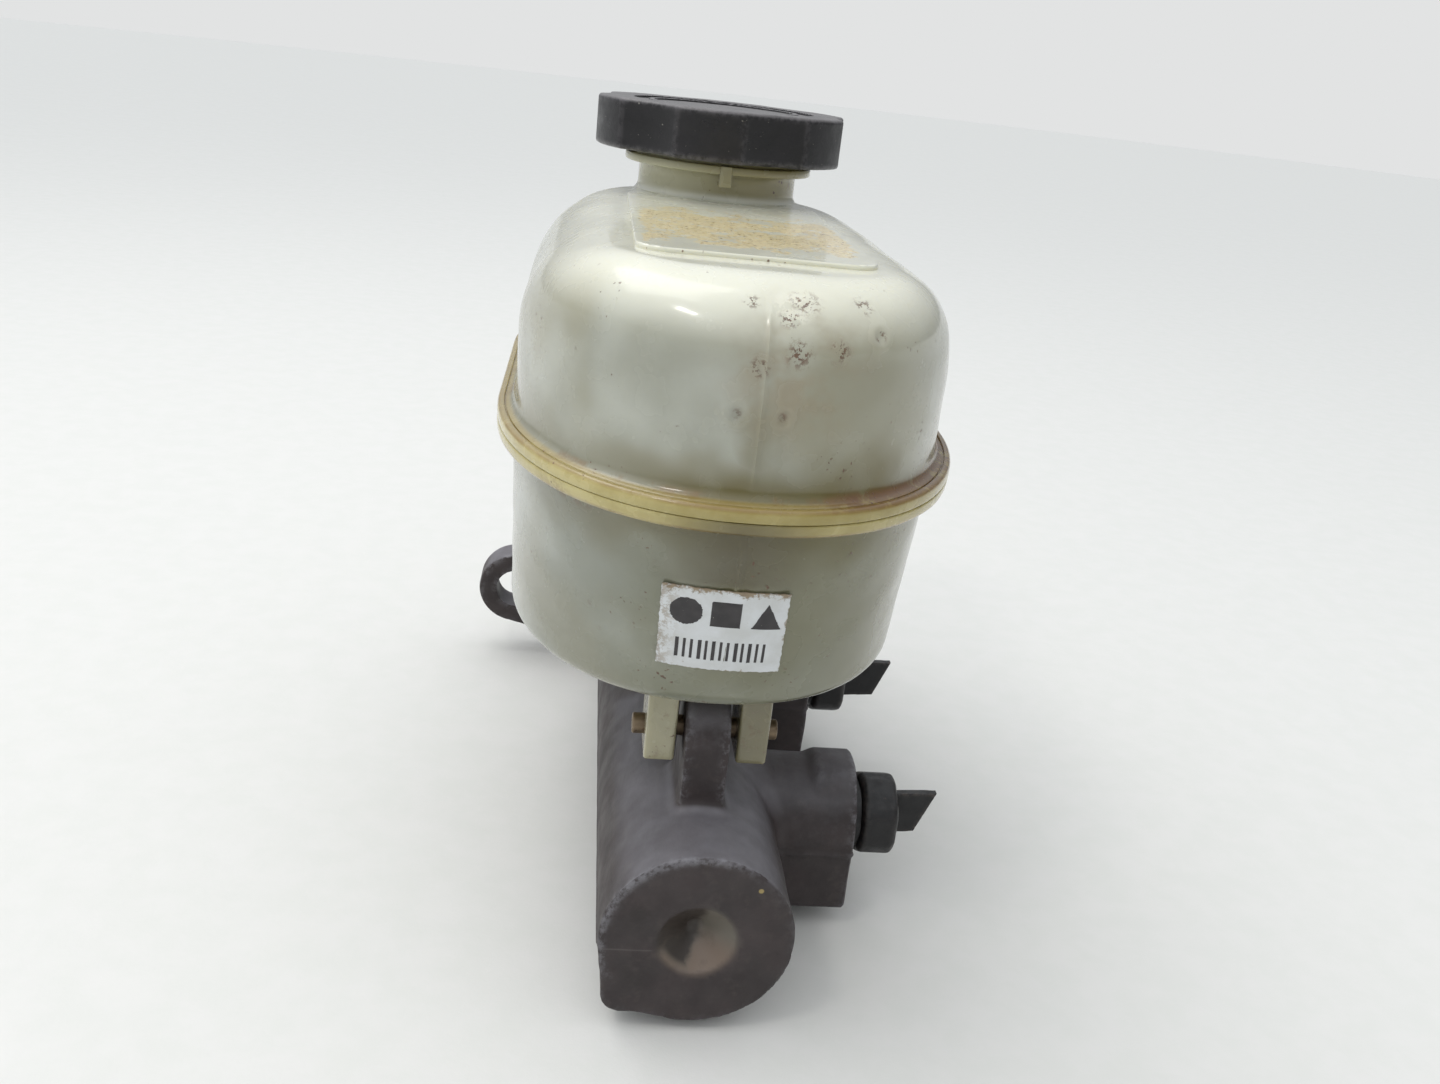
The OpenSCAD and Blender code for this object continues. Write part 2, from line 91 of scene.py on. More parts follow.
# the upper shell seen from above: half width, front and rear, how deep its rounded front and
# rear are and the power of their curve; the height where its shoulder starts
HALF_W, TANK_FRONT_Y, TANK_REAR_Y = 40.4, -168.8, -19.0
FRONT_D, REAR_D, POWER, SHOULDER_Z = 57, 48, 2.15, 101
# how far its flat top lies inside that outline and how its own curves differ
TOP_IN, TOP_FRONT_D, TOP_REAR_D, TOP_POWER = 19, 12, 28, 2.55
NECK_Y, NECK_R, NECK_BORE_R = -51.5, 18.1, 15.4
CAP_Z, CAP_R, CAP_H = 130.7, 28.5, 10.6
THREAD_PITCH, WIRE_R = 5.0, 0.9


# ---- distance functions ----------------------------------------------------

def rounded_max(a, b, r):
    """Common part of two solids, its outer edge rounded to radius r."""
    return np.minimum(-r, np.maximum(a, b)) + np.hypot(np.maximum(r + a, 0), np.maximum(r + b, 0))


def rounded_min(a, b, r):
    """Two solids together, with a fillet of radius r between them."""
    return np.maximum(r, np.minimum(a, b)) - np.hypot(np.maximum(r - a, 0), np.maximum(r - b, 0))


def slab(flat, along, start, end, edge):
    """A flat outline's distance, made solid between start and end, with rounded rims."""
    ends = np.abs(along - (start + end) / 2) - (end - start) / 2
    return rounded_max(flat, ends, edge)


def box2(u, v, low_u, high_u, low_v, high_v, r):
    """Distance to a flat rectangle with corner radius r."""
    du = np.abs(u - (low_u + high_u) / 2) - (high_u - low_u) / 2 + r
    dv = np.abs(v - (low_v + high_v) / 2) - (high_v - low_v) / 2 + r
    return np.hypot(np.maximum(du, 0), np.maximum(dv, 0)) + np.minimum(np.maximum(du, dv), 0) - r


def tapered_capsule(u, v, r_start, r_end, length):
    """Distance to the convex outline round a circle at 0 and a smaller one at u = length."""
    v = np.abs(v)
    lean = (r_start - r_end) / length
    rise = math.sqrt(1 - lean * lean)
    k = u * rise - v * lean
    side = v * rise + u * lean - r_start
    near = np.hypot(u, v) - r_start
    far = np.hypot(u - length, v) - r_end
    return np.where(k < 0, near, np.where(k > rise * length, far, side))


# ---- meshes from distance functions ----------------------------------------

CORNERS = np.array([(i, j, k) for i in (0, 1) for j in (0, 1) for k in (0, 1)])
TETRAHEDRON = np.array([(1, -1, -1), (-1, -1, 1), (-1, 1, -1), (1, 1, 1)], float)


def cells_near_surface(distance, low, counts, cell, levels):
    """Index of every cell that the surface may cross, found by halving large cells."""
    reach = 1.35
    steps = [np.arange(n) for n in counts]
    index = np.stack(np.meshgrid(*steps, indexing="ij"), -1).reshape(-1, 3)
    for level in range(levels, -1, -1):
        size = cell * 2 ** level
        value = distance(*(low + (index + 0.5) * size).T)
        index = index[np.abs(value) < size * reach]
        if level:
            index = (index[:, None, :] * 2 + CORNERS[None]).reshape(-1, 3)
    return index


def slope(distance, points, step=0.01):
    """Unit gradient of a distance function."""
    total = np.zeros_like(points)
    for k in TETRAHEDRON:
        total += k * distance(*(points + step * k).T)[:, None]
    return total / np.maximum(np.linalg.norm(total, axis=1, keepdims=True), 1e-12)


def crossings(distance, at, first, second):
    """Points of zero distance between at(0) and at(1), whose distances are first and second."""
    t_low, t_high = np.zeros(len(first)), np.ones(len(first))
    f_low, f_high, least = first, second, 1e-9
    for _ in range(3):
        t = t_low + (t_high - t_low) * f_low / (f_low - f_high)
        f = distance(*at(t).T)
        left = (f < 0) == (f_low < 0)
        t_low, f_low = np.where(left, t, t_low), np.where(left, f, f_low)
        t_high, f_high = np.where(left, t_high, t), np.where(left, f_high, f)
        f_low = np.where(np.abs(f_low) < least, np.copysign(least, first), f_low)
        f_high = np.where(np.abs(f_high) < least, np.copysign(least, second), f_high)
    return at(t)


def meeting_points(owner, crossing, normal, count):
    """For each of count cells, where the planes through the crossings it owns meet best."""
    def summed(values):
        return np.stack([np.bincount(owner, v, count) for v in values.T], 1)

    middle = summed(crossing) / np.bincount(owner, minlength=count)[:, None]
    offset = ((crossing - middle[owner]) * normal).sum(1)
    right = summed(normal * offset[:, None])
    square = summed((normal[:, :, None] * normal[:, None, :]).reshape(-1, 9)).reshape(-1, 3, 3)
    square += 0.04 * np.eye(3)
    return middle + np.linalg.solve(square, right[:, :, None])[:, :, 0]


def contour(distance, low, high, cell):
    """Closed quad mesh round distance < 0 that keeps sharp edges: one vertex for each crossed
    cell, placed where the planes of its crossings meet. Returns (points, quads)."""
    levels = 4
    low = np.array(low, float) - cell * 0.37
    counts = np.ceil((np.array(high) - low) / (cell * 2 ** levels)).astype(int)
    cells = cells_near_surface(distance, low, counts, cell, levels)
    n = counts * 2 ** levels + 2
    stride = np.array([n[1] * n[2], n[2], 1])

    def grid_place(key):
        return np.stack([key // stride[0], key // stride[1] % n[1], key % n[2]], 1)

    cells = cells[np.argsort(cells @ stride)]
    corner_ids = (cells[:, None, :] + CORNERS[None]) @ stride
    ids, inverse = np.unique(corner_ids, return_inverse=True)
    value = distance(*(low + grid_place(ids) * cell).T)
    inside = value[inverse.reshape(corner_ids.shape)] < 0
    crossed = inside.any(1) & ~inside.all(1)
    cells, inside = cells[crossed], inside[crossed]
    # every crossed edge of the grid, once, with its crossing and the surface's direction there
    owner, edge_key = [], []
    for axis in range(3):
        for start in CORNERS[CORNERS[:, axis] == 0]:
            a = start @ (4, 2, 1)
            rows = np.nonzero(inside[:, a] != inside[:, a + (4, 2, 1)[axis]])[0]
            owner.append(rows)
            edge_key.append(((cells[rows] + start) @ stride) * 3 + axis)
    edges, which = np.unique(np.concatenate(edge_key), return_inverse=True)
    base, axis = edges // 3, edges % 3
    first, second = (value[np.searchsorted(ids, key)] for key in (base, base + stride[axis]))
    corner, unit = grid_place(base), np.eye(3)[axis]
    crossing = crossings(distance, lambda t: low + (corner + unit * t[:, None]) * cell, first, second)
    normal = slope(distance, crossing)
    points = meeting_points(np.concatenate(owner), crossing[which], normal[which], len(cells))
    centre = low + (cells + 0.5) * cell
    points = centre + np.clip(points - centre, -0.5 * cell, 0.5 * cell)
    # one quad round each crossed edge
    keys, quads = cells @ stride, []
    for a in range(3):
        b, c = np.eye(3, dtype=int)[[(a + 1) % 3, (a + 2) % 3]]
        mine = axis == a
        around = np.stack([(corner[mine] - s * b - t * c) @ stride
                           for s, t in ((1, 1), (0, 1), (0, 0), (1, 0))], 1)
        spot = np.minimum(np.searchsorted(keys, around), len(keys) - 1)
        whole = (keys[spot] == around).all(1)
        quads.append(np.where((first[mine] < 0)[:, None], spot, spot[:, ::-1])[whole])
    return points, np.concatenate(quads)


# ---- meshes from profiles ----------------------------------------------------

def grid_quads(rows, columns, closed_rows=True):
    """Quads of a grid that wraps round its columns, and round its rows if closed."""
    r = np.arange(rows if closed_rows else rows - 1)
    a, b = np.meshgrid(r, np.arange(columns), indexing="ij")
    up, right = (a + 1) % rows, (b + 1) % columns
    quads = [a * columns + b, a * columns + right, up * columns + right, up * columns + b]
    return np.stack(quads, -1).reshape(-1, 4)


def rounded_profile(corners, radius):
    """A closed profile with an arc in place of each corner that is off the axis."""
    corners, points, steps = [Vector(c) for c in corners], [], 3
    for i, c in enumerate(corners):
        before, after = corners[i - 1] - c, corners[(i + 1) % len(corners)] - c
        cut = min(radius, 0.42 * before.length, 0.42 * after.length)
        if c.x < 1e-6:
            points.append(c)
            continue
        a, b = c + before.normalized() * cut, c + after.normalized() * cut
        for k in range(steps + 1):
            t = k / steps
            points.append(a * (1 - t) ** 2 + c * 2 * t * (1 - t) + b * t ** 2)
    return np.array([tuple(p) for p in points])


def turned(corners, axis, centre, radius, columns=96):
    """(points, quads) of a turned solid: corners are (distance from the axis, place along it)."""
    profile = rounded_profile(corners, radius) if radius else np.array(corners, float)
    turn = np.linspace(0, 2 * math.pi, columns, endpoint=False)
    across = profile[:, 0][:, None]
    along = np.repeat(profile[:, 1][:, None], columns, 1)
    sides = [across * np.cos(turn), across * np.sin(turn)]
    order = {"x": (along, *sides), "y": (sides[1], along, sides[0]), "z": (*sides, along)}
    points = np.stack(order[axis], -1).reshape(-1, 3) + np.array(centre, float)
    return points, grid_quads(len(profile), columns)


def coiled(radius, start, end, turns):
    """(points, faces) of a compression spring along -Y, its end turns closed and flat."""
    sides, steps = 14, 40
    n = int(turns * steps)
    share = np.linspace(0, 1, n + 1)
    closed, rise = 0.75 / turns, -0.9 * WIRE_R
    along = np.interp(share, [0, closed, 1 - closed, 1], [start, start + rise, end - rise, end])
    turn = share * turns * 2 * math.pi
    ring = np.linspace(0, 2 * math.pi, sides, endpoint=False)[:, None]
    out = np.stack([np.cos(turn), 0 * turn, np.sin(turn)], 1)[:, None]
    middle = np.stack([0 * turn, along, 0 * turn], 1)[:, None]
    points = middle + radius * out + WIRE_R * (np.cos(ring) * out + np.sin(ring) * (0, 1, 0))
    quads = grid_quads(n + 1, sides, closed_rows=False)[:, ::-1].tolist()
    first = list(range(sides))
    return points.reshape(-1, 3), quads + [first, [n * sides + k for k in first[::-1]]]


# ---- pieces ------------------------------------------------------------------

def build_mesh(name, points, faces, sharp=35, merge=False):
    """A smooth mesh in metres whose edges past the sharp angle stay crisp."""
    mesh = bpy.data.meshes.new(name)
    faces = faces.tolist() if isinstance(faces, np.ndarray) else faces
    mesh.from_pydata((np.asarray(points) * MM).tolist(), [], faces)
    if merge:
        work = bmesh.new()
        work.from_mesh(mesh)
        bmesh.ops.remove_doubles(work, verts=work.verts, dist=1e-6)
        bmesh.ops.recalc_face_normals(work, faces=work.faces)
        work.to_mesh(mesh)
        work.free()
    mesh.validate()
    finish_mesh(mesh, sharp)
    return mesh


def finish_mesh(mesh, sharp):
    """Shades the mesh smooth, with crisp edges past the sharp angle."""
    mesh.polygons.foreach_set("use_smooth", np.ones(len(mesh.polygons), bool))
    mesh.update()
    mesh.set_sharp_from_angle(angle=math.radians(sharp))


def place(name, mesh, material, body=None, nodes=()):
    """An object for the mesh, riding on its body in place of its CAD nodes."""
    piece = bpy.data.objects.new(name, mesh)
    bpy.context.scene.collection.objects.link(piece)
    mesh.materials.clear()
    mesh.materials.append(material)
    if nodes:
        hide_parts(*nodes)
    if body:
        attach(piece, body)
    return piece


def vertex_values(mesh, key):
    """Each vertex's place in metres (co) or its normal."""
    flat = np.empty(len(mesh.vertices) * 3, np.float32)
    mesh.vertices.foreach_get(key, flat)
    return flat.reshape(-1, 3).astype(float)


def write_attribute(mesh, name, values):
    """One number for each vertex, for the material to read."""
    layer = mesh.attributes.new(name, "FLOAT", "POINT")
    layer.data.foreach_set("value", np.asarray(values, np.float32))


def mark_edges(mesh, strength):
    """Attribute 'edge': how strongly the surface turns outwards at each vertex, from 0 to 1."""
    points, normals = vertex_values(mesh, "co") / MM, vertex_values(mesh, "normal")
    pairs = np.empty(len(mesh.edges) * 2, np.int32)
    mesh.edges.foreach_get("vertices", pairs)
    a, b = pairs.reshape(-1, 2).T
    gap = points[a] - points[b]
    bend = ((normals[a] - normals[b]) * gap).sum(1) / np.maximum((gap ** 2).sum(1), 1e-6)
    count = np.bincount(a, minlength=len(points)) + np.bincount(b, minlength=len(points))
    for _ in range(2):
        total = np.bincount(a, bend, len(points)) + np.bincount(b, bend, len(points))
        value = total / np.maximum(count, 1)
        bend = (value[a] + value[b]) / 2
    write_attribute(mesh, "edge", np.clip(value * strength, 0, 1))


def combine(base, other, operation):
    """The mesh left by an exact boolean of two meshes."""
    scene = bpy.context.scene.collection.objects
    target = bpy.data.objects.new("boolean_target", base)
    tool = bpy.data.objects.new("boolean_tool", other)
    scene.link(target)
    scene.link(tool)
    modifier = target.modifiers.new("boolean", "BOOLEAN")
    modifier.operation = operation
    modifier.solver = "EXACT"
    modifier.object = tool
    bpy.context.view_layer.update()
    graph = bpy.context.evaluated_depsgraph_get()
    result = bpy.data.meshes.new_from_object(target.evaluated_get(graph))
    for o in (target, tool):
        bpy.data.objects.remove(o)
    return result


# ---- materials -----------------------------------------------------------------

class Nodes:
    """Adds nodes to a tree."""

    def __init__(self, tree):
        self.tree = tree

    def add(self, kind, *links, inputs=None, **settings):
        """A node, its first inputs joined to links and others by the names in inputs."""
        node = self.tree.nodes.new(kind)
        for key, value in settings.items():
            setattr(node, key, value)
        for key, link in [*enumerate(links), *(inputs or {}).items()]:
            self.join(link, node.inputs[key])
        return node

    def join(self, source, socket):
        """Links a socket to another, or sets its value; None leaves it alone."""
        if isinstance(source, bpy.types.NodeSocket):
            self.tree.links.new(source, socket)
        elif source is not None:
            socket.default_value = source

    def math(self, operation, a, b=None, c=None):
        return self.add("ShaderNodeMath", a, b, c, operation=operation).outputs[0]


class Paint(Nodes):
    """One material's node tree; lengths in its textures are millimetres."""

    def __init__(self, name, **shader_values):
        self.material = bpy.data.materials.new(name)
        self.material.use_nodes = True
        super().__init__(self.material.node_tree)
        self.shader = self.tree.nodes["Principled BSDF"]
        self.use(**shader_values)
        place_node = self.add("ShaderNodeTexCoord")
        self.mm = self.vector("SCALE", place_node.outputs["Object"], scale=1000)
        self.axes = self.add("ShaderNodeSeparateXYZ", self.mm).outputs

    def vector(self, operation, a, b=None, scale=None):
        node = self.add("ShaderNodeVectorMath", a, b, None, scale, operation=operation)
        return node.outputs["Value" if operation in ("DISTANCE", "LENGTH") else "Vector"]

    def noise(self, size, detail=3.0, rough=0.5, stretch=None):
        """Noise of that feature size in mm, from 0 to 1."""
        where = self.vector("MULTIPLY", self.mm, stretch) if stretch else self.mm
        settings = {"Scale": 1 / size, "Detail": detail, "Roughness": rough}
        return self.add("ShaderNodeTexNoise", where, inputs=settings).outputs["Fac"]

    def span(self, value, low, high, start=0.0, end=1.0):
        """The value's place between low and high, turned into start to end."""
        return self.add("ShaderNodeMapRange", value, low, high, start, end,
                        interpolation_type="SMOOTHSTEP").outputs[0]

    def cloud(self, size, detail, rough, low, high, start=0.0, end=1.0, stretch=None):
        """Noise of that feature size, its values from low to high turned into start to end."""
        return self.span(self.noise(size, detail, rough, stretch), low, high, start, end)

    def near(self, value, centre, width):
        """1 where the value is at the centre, falling to 0 at that width from it."""
        away = self.math("ABSOLUTE", self.math("SUBTRACT", value, centre))
        return self.span(away, 0, width, 1, 0)

    def spot(self, point, inner, outer):
        """1 within the inner distance of a point, 0 past the outer one."""
        return self.span(self.vector("DISTANCE", self.mm, point), inner, outer, 1, 0)

    def times(self, *values):
        return reduce(lambda a, b: self.math("MULTIPLY", a, b), values)

    def most(self, *values):
        return reduce(lambda a, b: self.math("MAXIMUM", a, b), values)

    def attribute(self, name):
        return self.add("ShaderNodeAttribute", attribute_name=name).outputs["Fac"]

    def edge_mask(self, radius):
        """1 on worn outer edges of a mesh with crisp edges."""
        bevel = self.add("ShaderNodeBevel", radius * MM, samples=4).outputs[0]
        own = self.add("ShaderNodeNewGeometry").outputs["Normal"]
        turn = self.add("ShaderNodeVectorMath", bevel, own, operation="DOT_PRODUCT")
        return self.span(turn.outputs["Value"], 0.985, 0.82)

    def blend(self, share, a, b):
        """Colour a with its share of colour b laid over it."""
        layers = {0: share, 6: colour(a), 7: colour(b)}
        return self.add("ShaderNodeMix", inputs=layers, data_type="RGBA").outputs[2]

    def coats(self, tone, *layers):
        """The tone with coats of (share, colour) laid over it in turn."""
        for share, over in layers:
            tone = self.blend(share, tone, over)
        return tone

    def finished(self, tone, rough, *grains):
        """The material: tone, roughness and bumps as (noise values, height in mm)."""
        self.use(Base_Color=tone, Roughness=rough)
        self.bump(*[(self.noise(*grain), height) for grain, height in grains])
        return self.material

    def use(self, **sources):
        """Joins the shader's inputs, named with _ for a space."""
        for key, source in sources.items():
            self.join(source, self.shader.inputs[key.replace("_", " ")])

    def bump(self, *layers):
        """Height layers as (socket, height in mm)."""
        normal = None
        for height, depth in layers:
            settings = {"Distance": depth * MM, "Height": height, "Normal": normal}
            normal = self.add("ShaderNodeBump", inputs=settings).outputs[0]
        self.use(Normal=normal)


def colour(value):
    """An sRGB triple from 0 to 255 as a linear colour; sockets pass through."""
    if not isinstance(value, tuple):
        return value
    part = [v / 255 for v in value]
    return [*(v / 12.92 if v <= 0.04045 else ((v + 0.055) / 1.055) ** 2.4 for v in part), 1.0]


def upward(p):
    """How far the surface faces up, from 0 to 1."""
    normal = p.add("ShaderNodeNewGeometry").outputs["Normal"]
    return p.span(p.add("ShaderNodeSeparateXYZ", normal).outputs[2], 0.1, 0.95)


def cast_metal():
    """Dark anodised casting: blotches, fine grain, worn edges, bare metal where machined."""
    p = Paint("cast_metal")
    x, y, z = p.axes
    along = (1, 0.4, 1)
    radial = p.vector("LENGTH", p.vector("MULTIPLY", p.mm, (1, 0, 1)))
    blotch, fine = p.noise(9, 5, 0.6, along), p.noise(0.8, 3, 0.6, along)
    # dust and painted light pale the upward faces, both weaker towards the right
    dust_and_painted_light = p.times(p.span(upward(p), 0.3, 1), p.cloud(14, 4, 0.6, 0.3, 0.7, 0.55, 1),
                   p.span(x, 14, 22, 1, 0.5))
    # edge wear, graded stronger towards the top and weaker on the front's right as painted light
    worn = p.times(p.attribute("edge"), p.cloud(2.2, 4, 0.7, 0.42, 0.62),
                   p.span(z, -12, 10, 0.3, 1), p.span(radial, 9, 10.5),
                   p.most(p.span(y, -164, -160), p.span(x, 2, 12, 1, 0.25)))
    # wear with a painted highlight on the front's upper left rim, the mould's parting line,
    # soot round the dimple and one fleck of yellow paint
    rim = p.times(p.span(y, -164.6, -165.8), p.near(radial, 17.7, 1.3),
                  p.span(p.math("SUBTRACT", z, x), 2, 18), p.cloud(1.7, 4, 0.7, 0.4, 0.6))
    face = p.span(y, -165.6, -165.9)
    parting = p.times(face, p.near(z, -2.1, 0.3), p.span(x, -7.6, -8.6), 0.35)
    soot = p.times(p.most(p.spot((-11, -166, 5), 1, 4.5), p.spot((-11, -166, -8.5), 1, 4)), face,
                   p.cloud(3, 4, 0.7, 0.35, 0.6), 0.6)
    fleck = p.spot((10.6, -166, 11.8), 0.35, 0.6)
    tone = p.blend(p.span(blotch, 0.32, 0.7), (46, 39, 39), (58, 49, 49))
    tone = p.coats(
        tone, (p.cloud(2.6, 4, 0.6, 0.52, 0.72, 0, 0.45, stretch=along), (68, 59, 57)),
        (p.cloud(1.3, 3, 0.5, 0.66, 0.74, 0, 0.6, stretch=along), (42, 36, 33)),
        (p.times(dust_and_painted_light, 0.8), (124, 122, 128)), (worn, (132, 131, 136)),
        (p.times(rim, 0.5), (128, 127, 132)), (parting, (100, 94, 92)), (soot, (36, 30, 28)),
        (fleck, (150, 132, 84)))
    # bare metal in the dimple, dark on the left as painted shade and lighter on the right
    # and round its lower rim as painted light, and in the bore
    lean = p.math("MULTIPLY_ADD", p.math("MINIMUM", z, 0.0), -0.4, x)
    side = p.span(p.math("ADD", lean, p.cloud(4, 3, 0.6, 0, 1, -1, 1)), 0.2, 2.2)
    side = p.most(side, p.times(p.span(radial, 5.6, 7), p.span(z, -1, -4), 0.8))
    bore = p.span(y, -158, -156)
    metal = p.coats(
        (52, 45, 40), (side, (104, 99, 90)), (p.times(side, p.span(z, 1.5, -4)), (112, 97, 85)),
        (p.cloud(3, 4, 0.6, 0.52, 0.7, 0, 0.3), (84, 72, 62)),
        (bore, p.blend(p.noise(5, 3), (138, 130, 116), (168, 162, 150))))
    bare = p.attribute("machined")
    rough = p.cloud(5, 3, 0.5, 0.3, 0.7, 0.48, 0.64)
    p.use(Base_Color=p.blend(bare, tone, metal), Metallic=p.times(bare, bore, 0.7),
          Roughness=p.math("SUBTRACT", rough, p.times(bare, 0.12)))
    grain = p.math("SUBTRACT", 1.0, p.times(bare, 0.85))
    p.bump((p.times(p.noise(3.5, 3, 0.5, along), grain), 0.14), (p.times(fine, grain), 0.05))
    return p.material


def tank_plastic(name, base, tint, warm, side):
    """Milky polypropylene, yellowed round the weld; side is 1 above the joint and -1 below."""
    p = Paint(name, Subsurface_Weight=0.3, Subsurface_Scale=0.004, IOR=1.49,
              Coat_Weight=0.55, Coat_Roughness=0.09, Subsurface_Radius=(1.0, 0.92, 0.7))
    x, y, z = p.axes
    # olive stain from the weld ring into the walls, and along the moulding seam
    away = p.times(p.math("SUBTRACT", z, JOINT_Z), side)
    uneven = p.math("ADD", away, p.cloud(16, 2, 0.5, 0.25, 0.75, -3.5, 3.5))
    stain = p.times(p.span(uneven, 2, 13.5, 1, 0), p.span(x, -28, -5, 0.45, 1))
    seam = p.times(p.near(p.math("ADD", x, p.cloud(7, 3, 0.5, 0, 1, -2, 2)), 0.0, 5.0),
                   p.span(y, -150, -160), p.span(away, 26, 14), 0.5)
    # the ring's own cream plastic, painted shade darkening its right, browner on its upper face
    cream = p.blend(p.cloud(8, 4, 0.6, 0.35, 0.65), (170, 156, 96), (190, 178, 122))
    cream = p.coats(cream, (p.span(x, -27, -4, 0, 0.35 + 0.12 * side), (136, 120, 54)),
                    (p.times(upward(p), p.span(away, 1.9, 2.2), 0.6), (138, 116, 62)))
    # brown lines where the wall meets the weld ring and in its groove, most at the front right
    streak = p.cloud(10, 5, 0.7, 0.5, 0.62, stretch=(1, 1, 0.2))
    right = p.times(p.span(x, 10, 20), p.span(y, -100, -130), p.cloud(5, 4, 0.7, 0.36, 0.56))
    line = p.times(p.near(away, 3.1, 0.9), p.most(p.times(streak, 0.7), right))
    groove = p.times(p.near(away, 2.1, 0.55), p.cloud(12, 3, 0.5, 0.35, 0.6, 0.2, 0.7))
    tone = p.coats(
        base, (p.cloud(20, 2, 0.45, 0.36, 0.64), tint),
        (p.cloud(34, 2, 0.5, 0.42, 0.62, 0, 0.6), warm),
        (p.times(p.most(stain, seam), 0.92), (98, 87, 24)), (p.span(away, 2.55, 3.1, 1, 0), cream),
        (p.times(p.most(line, groove), 0.85), (124, 92, 34)))
    # specks, gathered in patches
    speck = p.times(p.cloud(1.5, 2, 0.4, 0.7, 0.75), p.cloud(22, 2, 0.5, 0.5, 0.62))
    fine = p.times(p.cloud(0.8, 2, 0.4, 0.68, 0.74), p.cloud(11, 2, 0.5, 0.54, 0.64))
    return p, tone, p.most(speck, fine)


def finish_tank(p, tone, dirt):
    """Shared last steps of both shells: dirt colour, gloss and the moulded skin."""
    brown = p.blend(p.noise(2, 3), (44, 26, 14), (118, 68, 32))
    tone = p.blend(p.times(dirt, 0.85), tone, brown)
    haze = p.cloud(8, 3, 0.55, 0.3, 0.7, 0.21, 0.3)
    p.use(Base_Color=tone, Roughness=p.math("ADD", haze, p.times(dirt, 0.25)))
    p.bump((p.noise(14, 2, 0.5), 0.25), (p.noise(1.2, 3, 0.5), 0.004), (dirt, 0.05))
    return p.material


def upper_tank():
    p, tone, dirt = tank_plastic("tank_upper_plastic", (154, 155, 141), (178, 180, 169),
                                 (146, 141, 114), 1)
    x, y, z = p.axes
    # the neck's tone, with painted light on its left and painted shade on its right
    neck_painted_light_and_shade = p.blend(p.span(x, -14, 10), (178, 175, 146), (150, 141, 100))
    # paper and glue left by a torn label on the raised land
    depth = p.math("ADD", y, p.cloud(8, 5, 0.7, 0.2, 0.8, -15, 15))
    across = p.math("ADD", p.math("ABSOLUTE", x), p.cloud(3, 4, 0.7, 0, 1, -2, 2))
    where = p.times(p.span(depth, -136, -133), p.span(depth, -92, -96),
                    p.span(z, 120.9, 121.2), p.span(across, 19.4, 18.8))
    paper = p.coats((240, 226, 186), (p.noise(1.6, 4), (222, 202, 152)),
                    (p.cloud(0.8, 3, 0.6, 0.56, 0.66), (134, 104, 70)))
    # tan haze on the front, a peeled spot on its shoulder and specks round both
    haze = p.times(p.spot((5, -168, 108), 3, 17), p.cloud(8, 3, 0.6, 0.36, 0.64), 0.6)
    peel = p.times(p.spot((3, -164.6, 117.6), 2.2, 4.2), p.cloud(2, 4, 0.7, 0.42, 0.5))
    crisp = p.cloud(1.0, 4, 0.75, 0.53, 0.56)
    # centre, inner and outer radius
    scars = [((2.6, -166.4, 116.1), 0.7, 2.2), ((5, -163.6, 118), 0.4, 3.6),
             ((-3.2, -164.6, 117.8), 0.3, 1.9), ((17.6, -163.2, 113.8), 0.3, 1.6),
             ((4.4, -168.7, 111), 0.6, 3.0), ((10.8, -166.9, 111.6), 0.3, 2.6),
             ((-1.4, -168.8, 108.6), 0.3, 2.4), ((-20, -165, 112.4), 0.2, 2.0),
             ((-4.1, -168.8, 101.1), 0.4, 1.2), ((3.1, -168.8, 101.1), 0.2, 1.0),
             ((14.5, -161, 117.6), 0.3, 2.6)]
    scar = p.most(*[p.times(p.spot(*s), crisp) for s in scars])
    rust = p.times(p.near(z, 87.5, 1.9), p.span(x, 8, 18), p.span(y, -100, -130),
                   p.cloud(4, 4, 0.7, 0.36, 0.5, stretch=(1, 1, 0.4)))
    # painted light: the shell turns paler towards its flat top
    tone = p.coats(
        tone, (p.span(z, 108, 120.5, 0, 0.85), (226, 225, 208)), (p.span(z, 122, 124), neck_painted_light_and_shade),
        (p.times(where, p.cloud(7, 5, 0.8, 0.41, 0.46), 0.92), paper), (haze, (148, 134, 108)),
        (p.times(peel, 0.8), (222, 220, 204)), (p.times(rust, 0.95), (104, 66, 14)))
    return finish_tank(p, tone, p.most(dirt, scar))


def lower_tank():
    p, tone, dirt = tank_plastic("tank_lower_plastic", (136, 139, 127), (158, 161, 151),
                                 (130, 127, 104), -1)
    x, y, z = p.axes
    # painted shade: the shell darker from just left of its middle rightwards, most at the right, below
    # the weld ring
    painted_shade_right = p.most(p.times(p.span(x, -24, -9), p.span(z, 43, 46)), p.span(x, 0, 6))
    painted_shade_right = p.times(painted_shade_right, p.span(x, 12, 30, 0.46, 0.84), p.span(z, 81.6, 82.2, 1, 0))
    # tone of the lugs, nipples and floor edge, darker on the right as painted shade
    foot_tone_with_painted_shade = p.blend(p.span(x, 0, 6), (160, 155, 128), (122, 116, 90))
    shade = p.times(p.span(z, 69, 71.5), p.near(x, -1, 17), p.span(y, -150, -160), 0.72)
    tone = p.coats(tone, (painted_shade_right, (94, 91, 46)), (p.span(z, 45, 41.5, 0, 0.95), foot_tone_with_painted_shade),
                   (shade, (76, 68, 42)))
    under = p.times(p.span(z, 43.4, 42.6), p.cloud(3, 4, 0.7, 0.56, 0.7), 0.4)
    left = p.times(p.spot((-27, -152, 80.5), 2, 9), p.span(z, 78.5, 81.5),
                   p.cloud(2, 4, 0.7, 0.46, 0.56))
    gash = p.times(p.spot((-3.6, -167, 72), 0.4, 2.2), p.cloud(1.2, 4, 0.7, 0.46, 0.54))
    return finish_tank(p, tone, p.most(dirt, under, left, gash))


